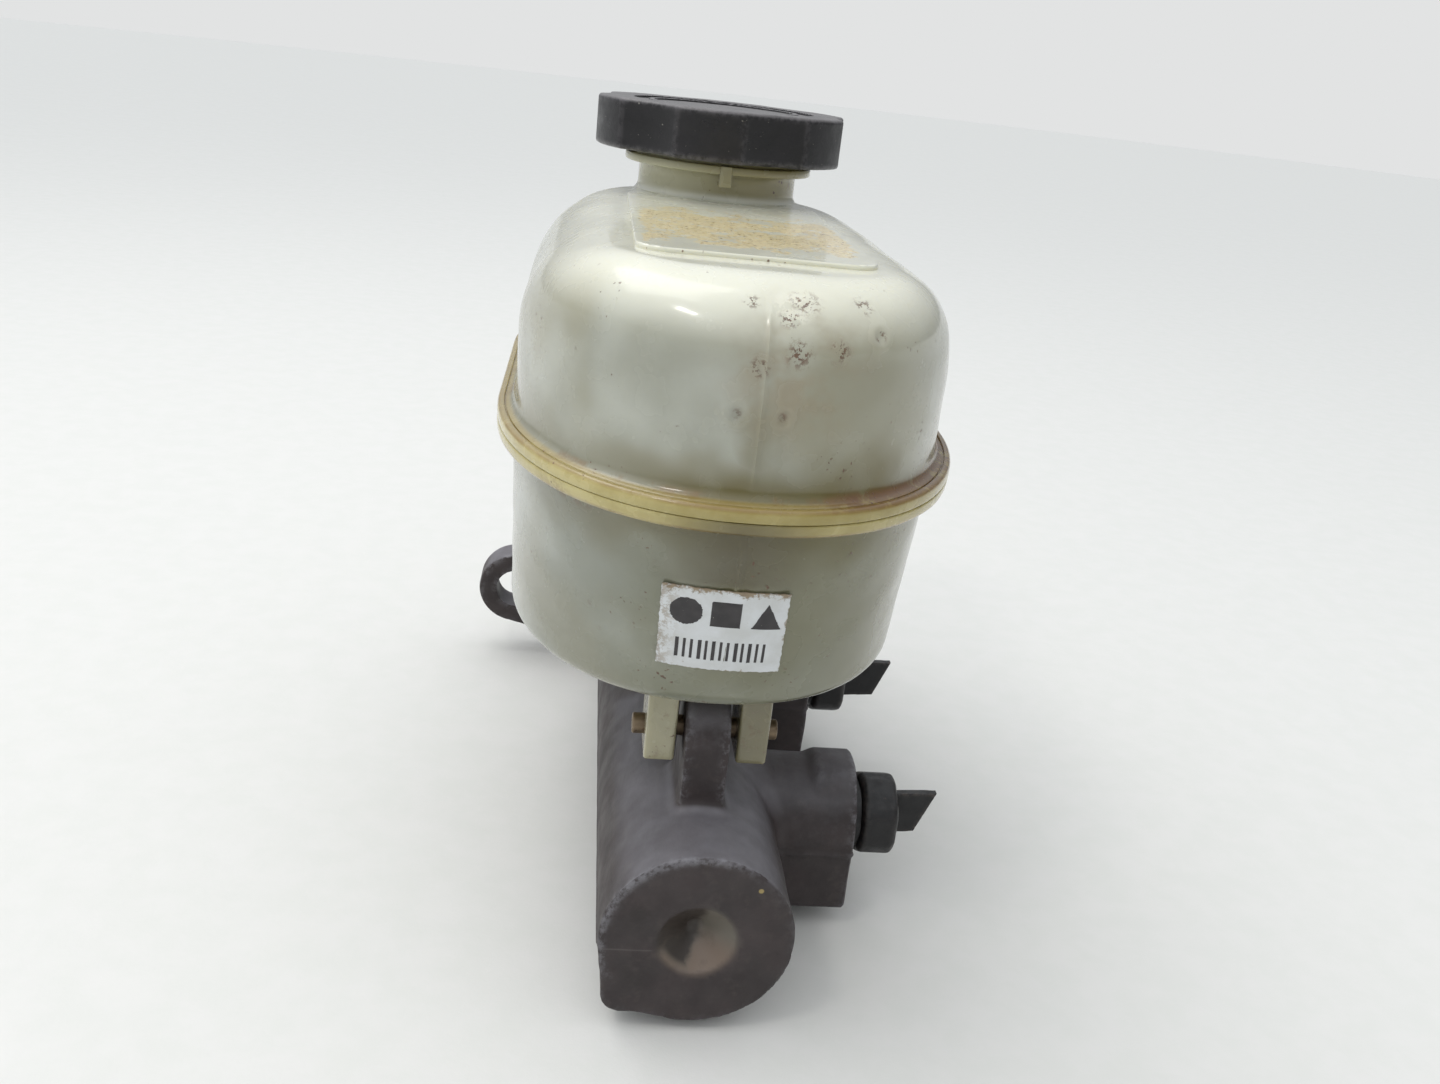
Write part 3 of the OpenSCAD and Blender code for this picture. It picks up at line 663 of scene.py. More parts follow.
def cap_plastic():
    """Dark moulded plastic, scuffed, its upward faces paled by dust and painted light."""
    p = Paint("cap_plastic", IOR=1.5)
    tone = p.blend(p.cloud(7, 4, 0.6, 0.3, 0.7), (13, 11, 13), (21, 18, 22))
    # dust and painted light on the upward faces
    dust_and_painted_light = p.times(upward(p), p.cloud(6, 5, 0.7, 0.25, 0.7, 0.35, 0.9))
    worn = p.times(p.attribute("edge"), p.cloud(1.6, 4, 0.7, 0.35, 0.6))
    specks = p.cloud(0.7, 2, 0.5, 0.72, 0.76)
    tone = p.coats(tone, (dust_and_painted_light, (112, 108, 108)), (p.times(worn, 0.7), (122, 118, 122)),
                   (p.times(specks, 0.7), (136, 132, 126)))
    return p.finished(tone, p.cloud(3, 4, 0.6, 0.3, 0.7, 0.27, 0.42),
                      ((0.55, 3, 0.6), 0.03), ((4, 3), 0.08))


def plug_plastic():
    p = Paint("plug_plastic", IOR=1.5)
    tone = p.blend(p.cloud(4, 4, 0.6, 0.3, 0.7), (9, 8, 10), (16, 15, 17))
    worn = p.times(p.attribute("edge"), p.cloud(1.2, 4, 0.7, 0.4, 0.6))
    tone = p.coats(tone, (p.times(worn, 0.6), (92, 80, 74)),
                   (p.cloud(2.4, 4, 0.7, 0.62, 0.74, 0, 0.5), (70, 58, 50)))
    return p.finished(tone, p.cloud(2, 4, 0.6, 0.3, 0.7, 0.32, 0.55),
                      ((0.5, 3, 0.6), 0.04), ((3, 3), 0.1))


def turned_metal(name, dark, light, stain, metallic=1.0, rough=(0.25, 0.45), rings=True):
    """Machined or plated metal with turning marks, stains and bright edges."""
    p = Paint(name, Metallic=metallic)
    tone = p.blend(p.cloud(5, 5, 0.6, 0.3, 0.7), dark, light)
    tone = p.blend(p.cloud(2.2, 4, 0.7, 0.56, 0.7, 0, 0.7), tone, stain)
    tone = p.blend(p.times(p.edge_mask(0.3), 0.6), tone, (222, 218, 208))
    marks = (0.25, 2, 0.5, (0.06, 1, 0.06)) if rings else (0.4, 3, 0.6)
    return p.finished(tone, p.cloud(3, 5, 0.6, 0.25, 0.75, *rough), (marks, 0.012), ((2.5, 3), 0.03))


def seal_rubber():
    p = Paint("seal_rubber", IOR=1.5)
    tone = p.blend(p.cloud(4, 4, 0.6, 0.3, 0.7), (22, 22, 24), (38, 37, 38))
    tone = p.blend(p.cloud(1.2, 4, 0.7, 0.6, 0.75, 0, 0.5), tone, (84, 78, 70))
    return p.finished(tone, p.cloud(2, 4, 0.6, 0.3, 0.7, 0.5, 0.72),
                      ((0.4, 3, 0.6), 0.03), ((3, 3), 0.08))


def label_paper():
    """White printed paper with grime worked into its torn edges and corners."""
    p = Paint("label_paper")
    tone = p.blend(p.cloud(5, 4, 0.6, 0.3, 0.7), (216, 219, 221), (204, 206, 205))
    border = p.attribute("border")
    bite = p.math("ADD", border, p.cloud(2.2, 5, 0.75, 0.2, 0.8, -0.42, 0.42))
    z, x = p.axes[2], p.axes[0]
    top = p.times(p.span(p.math("ADD", z, p.cloud(3, 5, 0.8, 0.2, 0.8, -1.6, 1.6)), 68.6, 69.6), 0.95)
    scuff = p.times(p.span(x, -8, -12), p.cloud(1.6, 5, 0.8, 0.46, 0.56), 0.6)
    dirty = p.most(p.times(p.span(bite, 0.95, 1.15), 0.8), top, scuff,
                   p.cloud(1.1, 4, 0.7, 0.68, 0.75, 0, 0.6))
    tone = p.blend(dirty, tone, p.blend(p.noise(0.8, 4), (92, 74, 54), (168, 150, 122)))
    return p.finished(tone, p.cloud(3, 3, 0.5, 0.3, 0.7, 0.5, 0.7),
                      ((0.5, 4, 0.6), 0.02), ((4, 3, 0.6), 0.1))


def label_ink():
    p = Paint("label_ink")
    tone = p.blend(p.cloud(2, 4, 0.6, 0.3, 0.7), (44, 42, 44), (62, 59, 60))
    tone = p.blend(p.cloud(0.7, 4, 0.7, 0.68, 0.74, 0, 0.8), tone, (200, 194, 180))
    return p.finished(tone, p.cloud(1, 3, 0.5, 0.3, 0.7, 0.42, 0.62), ((0.5, 4, 0.6), 0.02))


# ---- cast body -----------------------------------------------------------------

def cast_body(x, y, z):
    """Distance to the casting with all its machined holes. Parts that share a flat face are
    drawn past it and cut together, so that the fillet between them leaves the face flat."""
    past = 2.0
    radial = np.hypot(x, z)
    solid = slab(radial - BARREL_R, y, FRONT_Y - past, -0.5, 0.9)
    for sign_y in INLET_Y:
        boss = slab(np.hypot(x, y - sign_y) - 13, z, 0, 28, 0.8)
        solid = rounded_min(solid, boss, 3.0)
    for port_y in PORT_Y:
        v, w = y - port_y, z - PORT_Z
        flat = np.minimum(np.hypot(v, w) - 12.4, box2(v, z, -12.2, 12.2, -16, PORT_Z, 1.6))
        solid = rounded_min(solid, slab(flat, x, 0, PORT_X + past, 0.9), 3.2)
        hump = rounded_max(np.hypot(v, w) - 13.2, np.abs(v) - 7 + (w < 0) * 20, 2.5)
        solid = rounded_min(solid, slab(hump, x, 27, PORT_X + past, 0.9), 2.5)
    v, w = y - PIN_Y, z - PIN_Z + 1
    flat = np.minimum(np.hypot(v, w) - 8.5, box2(v, z, -8.5, 8.5, 0, PIN_Z - 1, 0.1))
    solid = rounded_min(solid, slab(flat, x, -4.35, 4.35, 1.1), 2.4)
    pad = slab(box2(x, z, -17, -3, -16.5, -2, 4.0), y, FRONT_Y - past, -128, 1.2)
    solid = rounded_min(solid, pad, 1.6)
    solid = rounded_max(rounded_max(solid, x - PORT_X, 0.9), FRONT_Y - y, 0.9)
    # raised line where the two halves of the mould met
    solid = solid - 0.28 * np.exp(-((z + 2.1) / 0.5) ** 2) * (radial > 15) * (y > FRONT_Y + 1)
    solid = solid + 0.07 + 0.07 * np.sin(x * 0.55 + 1) * np.sin(y * 0.43) * np.sin(z * 0.5 + 2)
    ears = tapered_capsule(np.abs(x), z, 20.47, 10.46, STUD_X)
    solid = rounded_max(rounded_min(solid, slab(ears, y, -9.5, past, 0.9), 2.8), y, 0.9)
    solid = np.minimum(solid, slab(radial - SPIGOT_R, y, -1, SPIGOT_LEN, 0.8))
    for part, edge in body_cuts(x, y, z, radial):
        solid = rounded_max(solid, -part, edge)
    return solid


def body_cuts(x, y, z, radial):
    """Machined holes as (distance, edge radius)."""
    end = 1.2 + (radial - BORE_R) * 0.25
    yield np.maximum(radial - BORE_R, -148 + end - y), 0.3
    yield np.maximum(radial - 12.9, 14.2 - y), 0.6
    yield np.maximum(radial - 14, np.abs(y - 18.35) - 0.75), 0.2
    yield np.maximum(np.maximum(15.5 - radial, radial - 25), np.abs(y - 3.5) - 1.5), 0.25
    stud = np.hypot(np.abs(x) - STUD_X, z) - 5.5
    yield np.maximum(stud, np.abs(y + 4.75) - 8), 0.5
    depth = y - FRONT_Y
    cone = (radial - 7.7 + 6.2 * depth / 5.2) * 0.643
    yield np.maximum(np.maximum(cone, depth - 5.2), radial - 9), 0.35
    for inlet in INLET_Y:
        yield np.maximum(np.hypot(x, y - inlet) - 10, 19 - z), 0.4
        yield np.maximum(np.hypot(x, y - inlet - 2.4) - 1, np.abs(z - 14) - 6.5), 0.15
    for port in PORT_Y:
        yield np.maximum(np.hypot(y - port, z - PORT_Z) - PORT_R, 19 - x), 0.5
        yield np.maximum(np.hypot(y - port + 3.3, z - PORT_Z) - 1, np.abs(x - 14) - 6), 0.15
    yield np.hypot(y - PIN_Y, z - PIN_Z) - PIN_R - 0.02, 0.2


def build_cast_body():
    points, quads = contour(cast_body, (-54.5, -167, -21.5), (54.5, 25, 40.5), 0.72)
    mesh = build_mesh("casting", points, quads, sharp=40)
    mark_edges(mesh, 1.1)
    x, y, z = points.T
    radial = np.hypot(x, z)
    machined = (y > -0.12) | ((radial < BORE_R + 0.3) & (y > -149))
    machined |= (np.abs(y - 3.5) < 2) & (radial < 18)
    for port in PORT_Y:
        machined |= (x > 18) & (np.hypot(y - port, z - PORT_Z) < PORT_R + 0.5)
    dimple = np.clip((y - FRONT_Y) / 0.6, 0, 1) * (y < FRONT_Y + 5.4) * (radial < 8.2)
    write_attribute(mesh, "machined", np.maximum(machined, dimple))
    place("cast_body", mesh, cast_metal(), "cylinder", ["cylinder_body"])


# ---- reservoir -------------------------------------------------------------------

FRONT_COLUMNS, SIDE_COLUMNS = 181, 26


def outline(half_w, front, front_d, rear, rear_d, power):
    """The reservoir seen from above: rounded front and rear joined by straight sides."""
    s = np.linspace(-1, 1, FRONT_COLUMNS)
    turn = math.pi / 2 * np.sign(s) * np.abs(s) ** 1.2
    across = half_w * np.sign(s) * np.abs(np.sin(turn)) ** (2 / power)
    inwards = 1 - np.abs(np.cos(turn)) ** (2 / power)
    along = np.linspace(front + front_d, rear - rear_d, SIDE_COLUMNS + 2)[1:-1]
    side = np.full(SIDE_COLUMNS, half_w)
    x = np.concatenate([across, side, across[::-1], -side])
    y = np.concatenate([front + front_d * inwards, along, rear - rear_d * inwards, along[::-1]])
    return np.stack([x, y], 1)


def mix(a, b, share):
    return a + (b - a) * share


def lower_size(z):
    """The lower shell's half width, front, depth of its front and rear at that height."""
    up = (z - TANK_BOTTOM_Z) / (JOINT_Z - TANK_BOTTOM_Z)
    side_in, front_in, bottom_front_d = 0.9, 13.2, 50
    return (HALF_W - side_in * (1 - up), TANK_FRONT_Y + front_in * (1 - up),
            mix(bottom_front_d, FRONT_D, up), TANK_REAR_Y - side_in * (1 - up))


def lower_row(z, inset=0.0):
    half_w, front, depth, rear = lower_size(z)
    return row(outline(half_w - inset, front + inset, depth - inset, rear - inset, REAR_D - inset,
                       POWER), z)


def floor_row(turn, z, radius, inset=0.0):
    """One row on a rounded lower edge, turn radians round from the wall to the floor at z."""
    return lower_row(z + radius * (1 - math.sin(turn)), inset + radius * (1 - math.cos(turn)))


def upper_row(z, inset=0.0):
    return row(outline(HALF_W - inset, TANK_FRONT_Y + inset, FRONT_D - inset, TANK_REAR_Y - inset,
                       REAR_D - inset, POWER), z)


def shoulder_row(turn, inset=0.0):
    """One row on the shoulder, turn radians round from the wall to the flat top."""
    top, lean_from, lean = TANK_TOP_Z - inset, 110, 14.7
    z = mix(SHOULDER_Z, top, math.sin(turn))
    w = 1 - math.cos(turn)
    rise = max(0, z - lean_from) / (top - lean_from)
    front_in = lean * (1 - math.sqrt(max(0, 1 - rise * rise)))
    return row(outline(HALF_W - inset - TOP_IN * w, TANK_FRONT_Y + inset + front_in,
                       mix(FRONT_D, TOP_FRONT_D, w) - inset, TANK_REAR_Y - inset - TOP_IN * w,
                       mix(REAR_D, TOP_REAR_D, w) - inset, mix(POWER, TOP_POWER, w)), z)


def row(flat, z):
    return np.column_stack([flat, np.full(len(flat), z)])


def build_grid(name, grid, closed_rows):
    quads = grid_quads(*grid.shape[:2], closed_rows)
    return build_mesh(name, grid.reshape(-1, 3), quads, merge=True)


def surface_normals(rows):
    """Outward directions on a grid of rows that run upwards on the outside."""
    around = np.roll(rows, -1, 1) - np.roll(rows, 1, 1)
    upward = np.gradient(rows, axis=0)
    normal = np.cross(around, upward)
    return normal / np.maximum(np.linalg.norm(normal, axis=2, keepdims=True), 1e-9)


def wall_relief(points, seam_low, seam_high):
    """Small outward offsets of a moulded wall: seam, slow waves and dents."""
    x, y, z = np.moveaxis(points, -1, 0)
    fade = np.clip((z - seam_low) / 3, 0, 1) * np.clip((seam_high - z) / 3, 0, 1)
    relief = 0.32 * np.exp(-((x + 0.3) / 0.32) ** 2) * fade
    relief += 0.1 * np.exp(-((x - 2.6) / 0.35) ** 2) * fade * (z > JOINT_Z) * (y < -100)
    relief += 0.10 * np.sin(x * 0.21 + 1.3) * np.sin(z * 0.19 + 0.4) * np.sin(y * 0.17)
    relief += 0.05 * np.sin(x * 0.53) * np.sin(z * 0.61 + 2.0)
    for centre, depth, width in DENTS:
        away = ((points - np.array(centre)) ** 2).sum(-1)
        relief -= depth * np.exp(-away / width ** 2)
        relief += depth * 0.35 * np.exp(-(np.sqrt(away) - 1.7 * width) ** 2 / (0.6 * width) ** 2)
    return relief


# weld ring: how far out from the wall and how far from the joint, from the inside outwards
RING = [(-2.6, 0.02), (0, 0.02), (2.9, 0.02), (3.12, 0.08), (3.24, 0.22), (3.3, 0.45), (3.3, 1.6),
        (3.2, 2.05)]
# place, depth and width of small knocks in the upper wall
DENTS = [((-4.1, -168.8, 101.1), 0.6, 1.1), ((3.1, -168.8, 101.1), 0.55, 0.9),
         ((17.6, -163.2, 113.8), 0.5, 1.0)]


def around_neck(directions, profile):
    """Rows round the neck for (radius, height) pairs."""
    return [np.column_stack([directions * r + (0, NECK_Y), np.broadcast_to(z, len(directions))])
            for r, z in profile]


def dome_height(x, y):
    """Height of the dome's outside at points near the neck, by halving."""
    low, high = np.zeros_like(x), np.full_like(x, math.pi / 2)
    for _ in range(20):
        turn = (low + high) / 2
        w = 1 - np.cos(turn)
        depth, power = mix(REAR_D, TOP_REAR_D, w), mix(POWER, TOP_POWER, w)
        along = np.maximum(y - TANK_REAR_Y + TOP_IN * w + depth, 0) / depth
        inside = np.abs(x / (HALF_W - TOP_IN * w)) ** power + along ** power < 1
        low, high = np.where(inside, turn, low), np.where(inside, high, turn)
    return mix(SHOULDER_Z, TANK_TOP_Z, np.sin(low))


def thread_ridge(points):
    """Outward height of the neck's thread at each point."""
    start, turns, fade, height = 131.0, 1.05, 0.04, 1.4
    x, y, z = np.moveaxis(points, -1, 0)
    turn = np.mod(np.arctan2(y - NECK_Y, x) / (2 * math.pi), 1)
    total = np.zeros_like(z)
    for share in (turn, turn + 1):
        ends = np.clip(share / fade, 0, 1) * np.clip((turns - share) / fade, 0, 1)
        away = np.abs(z - start - THREAD_PITCH * share)
        total = np.maximum(total, height * ends * np.clip(1.35 - away / 0.8, 0, 1))
    return total


def dome():
    """Domed half shell with its half of the weld ring, open below."""
    middle = np.array([0, -85.0])
    inside = [shoulder_row(t, WALL) for t in np.linspace(math.pi / 2, 0, 15)]
    rows = [row(mix(middle, inside[0][:, :2], v), TANK_TOP_Z - WALL) for v in (0, 0.3, 0.65)]
    rows += inside + [upper_row(z, WALL) for z in (97, 92, 88)]
    outside_from = len(rows)
    rows += [upper_row(JOINT_Z + rise, -out) for out, rise in RING]
    rows += [upper_row(z, -out) for out, z in (
        (2.9, 86.87), (2.5, 87.0), (2.12, 87.0), (2.02, 86.9), (1.98, 86.6), (1.78, 86.6),
        (1.74, 86.9), (1.6, 87.02), (1.2, 87.15), (0.7, 87.45), (0.3, 88.0), (0.08, 88.6))]
    rows += [upper_row(z) for z in np.linspace(89.4, SHOULDER_Z, 17)]
    rows += [shoulder_row(t) for t in np.linspace(0, math.pi / 2, 47)[1:]]
    outer = np.array(rows[outside_from:])
    relief = wall_relief(outer, 88.2, 119) * np.clip(outer[..., 2] - 87.5, 0, 1)
    relief *= np.clip(122 - outer[..., 2], 0, 1)
    outer += surface_normals(outer) * relief[..., None]
    lid = [row(mix(rows[-1][:, :2], middle, v), TANK_TOP_Z) for v in (0.15, 0.4, 0.7, 1)]
    grid = np.concatenate([rows[:outside_from], outer, lid])
    return build_grid("dome", grid, False)


def neck():
    """Threaded neck with its stop ring, flared out onto the dome."""
    turn = np.linspace(0, 2 * math.pi, 192, endpoint=False)
    directions = np.stack([np.cos(turn), np.sin(turn)], 1)
    foot_r, flare_top, thread_r, inner_r = 20.5, 123.4, 19.8, 14.6
    foot = dome_height(directions[:, 0] * foot_r, NECK_Y + directions[:, 1] * foot_r) - 0.15
    profile = [(foot_r - 2.4 * math.sin(a), mix(foot, flare_top, 1 - math.cos(a)))
               for a in np.linspace(0, math.pi / 2, 9)]
    profile += [(NECK_R, 125.5), (NECK_R, 127.1), (18.35, 127.6), (18.9, 127.8), (20.9, 127.8),
                (21.28, 127.92), (21.4, 128.2), (21.4, 129.2), (21.28, 129.5), (20.9, 129.6),
                (20.2, 129.6), (19.9, 129.7), (thread_r, 129.95)]
    thread_from = len(profile)
    profile += [(thread_r, z) for z in np.arange(130.3, 136.8, 0.3)]
    thread_to = len(profile)
    profile += [(19.7, 137.1), (19.4, 137.35), (19.1, 137.4), (inner_r, 137.4),
                (inner_r, foot - 2.2), (18.0, foot - 1.6)]
    grid = np.array(around_neck(directions, profile))
    threaded = grid[thread_from:thread_to]
    threaded[..., :2] += directions[None] * thread_ridge(threaded)[..., None]
    return build_grid("neck", grid, True)


def build_upper_shell():
    mesh = combine(dome(), neck(), "UNION")
    for shape, low, high in ((raised_land, (-21.5, -146, 119), (21.5, -49, 122.5)),
                             (neck_tab, (-3, -75, 123), (3, -67, 131))):
        mesh = combine(mesh, build_mesh("part", *contour(shape, low, high, 0.4)), "UNION")
    bore = [(0, 108), (NECK_BORE_R, 108), (NECK_BORE_R, 136.9), (15.6, 137.25), (16.0, 137.45),
            (16, 140), (0, 140)]
    mesh = drilled(mesh, bore, NECK_Y, 144)
    finish_mesh(mesh, 38)
    place("reservoir_upper", mesh, upper_tank(), "cylinder", ["reservoir_upper_shell"])


def drilled(mesh, corners, y, columns):
    """The mesh with an upright hole of that turned profile through it."""
    tool = build_mesh("hole", *turned(corners, "z", (0, y, 0), 0, columns), merge=True)
    return combine(mesh, tool, "DIFFERENCE")


def neck_tab(x, y, z):
    """Small catch on the front of the stop ring."""
    return slab(box2(x, y, -1.3, 1.3, NECK_Y - 21.9, NECK_Y - 17.6, 0.4), z, 125.2, 129.7, 0.35)


def raised_land(x, y, z):
    """Thin raised plate in front of the neck that once carried a label."""
    half = 20.7 - 2.6 * np.clip((y + 68) / 16, 0, 1)
    return slab(box2(x * 20.7 / half, y, -20.7, 20.7, -145, -50, 5), z, 119.8, 121.8, 0.35)


def build_lower_shell():
    floor_z = TANK_BOTTOM_Z + WALL
    middle = np.array([0, -90.0])
    inner_edge = [floor_row(a, floor_z, 2, WALL) for a in np.linspace(math.pi / 2, 0, 5)]
    rows = [row(mix(middle, inner_edge[0][:, :2], v), floor_z) for v in (0, 0.3, 0.6, 0.85)]
    rows += inner_edge + [lower_row(z, WALL) for z in (55, 65, 75)]
    rows += [lower_row(JOINT_Z - drop, -out) for out, drop in RING]
    rows += [lower_row(z, -out) for out, z in (
        (2.9, 82.12), (2.5, 82.0), (0.8, 82.0), (0.35, 81.85), (0.1, 81.5), (0, 80.9))]
    wall_from = len(rows)
    rows += [lower_row(z) for z in np.linspace(80, 46.6, 40)]
    wall_to = len(rows)
    rows += [floor_row(a, TANK_BOTTOM_Z, 3.4) for a in np.linspace(0, math.pi / 2, 9)]
    rim = rows[-1][:, :2]
    rows += [row(mix(rim, middle, v), TANK_BOTTOM_Z) for v in (0.12, 0.35, 0.65, 1)]
    grid = np.array(rows)
    outer = grid[wall_from:wall_to]
    relief = wall_relief(outer, 52, 80.5) * np.clip((outer[..., 2] - 46) / 2, 0, 1)
    outer -= surface_normals(outer) * relief[..., None]
    mesh = build_grid("lower", grid, False)
    feet = build_mesh("feet", *contour(tank_feet, (-14, -152, 20), (14, -15, 44.8), 0.5))
    for part in (feet, divider()):
        mesh = combine(mesh, part, "UNION")
    for inlet in INLET_Y:
        mesh = drilled(mesh, [(0, 19), (4, 19), (4, 47), (0, 47)], inlet, 48)
    finish_mesh(mesh, 38)
    place("reservoir_lower", mesh, lower_tank(), "cylinder", ["reservoir_lower_shell"])


def tank_feet(x, y, z):
    """Two square lugs and two outlet nipples, flared where they meet the shell's floor."""
    lug = slab(box2(np.abs(x), y, 5.9, 11.7, PIN_Y - 6, PIN_Y + 6, 0.7), z, 27, 44.4, 0.6)
    flange = slab(box2(np.abs(x), y, 3.4, 13.6, PIN_Y - 8.4, PIN_Y + 8.4, 3), z, 42.85, 44.4, 0.3)
    solid = rounded_min(lug, flange, 1.6)
    solid = rounded_max(solid, PIN_R + 0.02 - np.hypot(y - PIN_Y, z - PIN_Z), 0.2)
    for inlet in INLET_Y:
        radial = np.hypot(x, y - inlet)
        nipple = np.minimum(slab(radial - 6, z, 20.4, 40, 0.5), slab(radial - 8.5, z, 31, 44.4, 0.6))
        plate = slab(radial - (12 if inlet < -60 else 9), z, 42.85, 44.4, 0.3)
        solid = np.minimum(solid, rounded_min(nipple, plate, 1.6))
    return solid


def divider():
    """Wall between the two fluid chambers."""
    work = bmesh.new()
    bmesh.ops.create_cube(work, size=1)
    for v in work.verts:
        v.co = Vector((v.co.x * 77.4, v.co.y * 2 - 72, v.co.z * 33.5 + 61.2)) * MM
    long_edges = [e for e in work.edges if abs(e.verts[0].co.x - e.verts[1].co.x) > 0.01]
    bmesh.ops.bevel(work, geom=long_edges, offset=0.6 * MM, segments=3, affect="EDGES")
    mesh = bpy.data.meshes.new("divider")
    work.to_mesh(mesh)
    work.free()
    return mesh


# ---- label -------------------------------------------------------------------------

LABEL_X, LABEL_Z, LABEL_W, LABEL_H = -1.4, 61.2, 22.0, 17.6


def on_front_wall(u, v, lift):
    """Points on the lower shell's front wall for label coordinates u (right) and v (up)."""
    x, z = LABEL_X + u - 0.035 * v, LABEL_Z + v - 0.02 * u
    half_w, front, depth, _ = lower_size(z)
    y = front + depth * (1 - (1 - np.abs(x / half_w) ** POWER) ** (1 / POWER))
    return np.stack([x, y - lift, z - 0.3 * lift], -1)


def label_lift(u, v):
    """How far the paper stands off the wall: two curled corners and a slight wrinkle."""
    curl = 0.35 * np.exp(-((u + LABEL_W / 2) ** 2 + (v - LABEL_H / 2) ** 2) / 5)
    curl += 0.25 * np.exp(-((u - LABEL_W / 2) ** 2 + (v - LABEL_H / 2) ** 2) / 3)
    return 0.15 + curl + 0.04 * np.sin(u * 0.9 + v * 1.3) * np.sin(v * 0.7)


def label_sheet():
    """Paper with slightly ragged edges, as a closed sheet; also how near each point is to an edge."""
    columns, lines = 67, 55
    u = np.linspace(-0.5, 0.5, columns) * LABEL_W
    v = np.linspace(-0.5, 0.5, lines) * LABEL_H
    u, v = np.meshgrid(u, v)
    edge = np.minimum(LABEL_W / 2 - np.abs(u), LABEL_H / 2 - np.abs(v))
    ragged = np.exp(-edge / 0.35)
    wander_u = 0.06 * np.sin(v * 2.3) + 0.04 * np.sin(v * 5.1 + 1)
    wander_v = 0.05 * np.sin(u * 1.9 + 2) + 0.04 * np.sin(u * 4.7)
    u, v = u + ragged * (wander_u - 0.15 * np.sign(u)), v + ragged * (wander_v - 0.15 * np.sign(v))
    front = on_front_wall(u, v, label_lift(u, v) + 0.2)
    back = on_front_wall(u, v, label_lift(u, v))
    points = np.concatenate([front.reshape(-1, 3), back.reshape(-1, 3)])
    index = np.arange(lines * columns).reshape(lines, columns)
    quads = np.stack([index[:-1, :-1], index[:-1, 1:], index[1:, 1:], index[1:, :-1]], -1)
    quads = quads.reshape(-1, 4)
    rim = np.concatenate([index[0, :-1], index[:-1, -1], index[-1, :0:-1], index[:0:-1, 0]])
    far = lines * columns
    skirt = np.stack([rim, rim + far, np.roll(rim, -1) + far, np.roll(rim, -1)], 1)
    faces = np.concatenate([quads, quads[:, ::-1] + far, skirt])
    border = np.exp(-np.maximum(edge, 0) / 1.7).reshape(-1)
    return points, faces, np.concatenate([border, border])


def ink(u, v, t):
    """Generic print: a disc, a square and a triangle over a row of equal bars."""
    disc = np.hypot(u + 6.5, v - 3.6) - 2.8
    square = box2(u, v, -2.4, 2.9, 0.9, 6.3, 0.3)
    triangle = np.maximum(0.9 - v, np.abs(u - 7.3) * 0.9 + (v - 6.4) * 0.43)
    pitch, half = 1.26, 8.19
    bar = np.abs(np.mod(u + half, pitch) - pitch / 2) - 0.31
    bars = np.maximum(np.maximum(bar, np.abs(u) - half), np.abs(v + 4.4) - 2.2)
    flat = np.minimum(np.minimum(disc, square), np.minimum(triangle, bars))
    return np.maximum(flat, np.abs(t) - 0.06)


def build_label():
    points, faces, border = label_sheet()
    mesh = build_mesh("paper", points, faces)
    write_attribute(mesh, "border", border)
    place("label_sheet", mesh, label_paper(), "cylinder", ["reservoir_label"])
    points, quads = contour(ink, (-10.5, -7.2, -0.3), (10.5, 7.2, 0.3), 0.15)
    u, v, t = points.T
    mesh = build_mesh("print", on_front_wall(u, v, label_lift(u, v) + 0.2 + t), quads)
    place("label_print", mesh, label_ink(), "cylinder", ["reservoir_label"])


# ---- filler cap ----------------------------------------------------------------------

def cap_solid(x, y, z):
    """Six-lobed screw cap, hollow underneath, with a double skirt and an inner thread."""
    v = y - NECK_Y
    radial = np.hypot(x, v)
    flat, top = radial - CAP_R, CAP_Z + CAP_H
    flute_r, flute_at, flute_turn = 22.7, 49, -70
    for k in range(6):
        angle = math.radians(flute_turn + 60 * k)
        flute = flute_r - np.hypot(x - flute_at * math.cos(angle), v - flute_at * math.sin(angle))
        flat = rounded_max(flat, flute, 0.35)
    ends = np.abs(z - (CAP_Z + top) / 2) - CAP_H / 2
    solid = rounded_max(flat, ends, 0.9)
    # shallow dish with a raised ring on top
    solid = rounded_max(solid, -np.maximum(radial - 20.5, top - 0.55 - z), 0.4)
    solid = np.minimum(solid, slab(np.abs(radial - 16.5) - 0.6, z, top - 1.2, top - 0.15, 0.3))
    # hollow with three quarters of a turn of thread, and a slot between the two skirts
    thread_r, start, turns = 22.7, 132.3, 0.75
    solid = rounded_max(solid, -np.maximum(radial - thread_r + 0.3, z - 138.6), 0.4)
    angle = np.mod(np.arctan2(v, x), 2 * math.pi)
    climb = start + THREAD_PITCH * angle / (2 * math.pi)
    thread = np.hypot(radial - thread_r, z - climb) - 0.8
    thread = np.maximum(thread, (angle - turns * 2 * math.pi) * 22)
    solid = np.minimum(solid, np.maximum(thread, radial - 23.4))
    return rounded_max(solid, -np.maximum(np.abs(radial - 24.3) - 0.6, z - 136.7), 0.3)


def build_cap():
    mesh = build_mesh("cap", *contour(cap_solid, (-29.5, -81, 129.7), (29.5, -22, 142.3), 0.42), 36)
    mark_edges(mesh, 0.9)
    place("cap_lobed", mesh, cap_plastic(), "cap", ["filler_cap"])


# ---- port plugs, pin and rings ----------------------------------------------------------

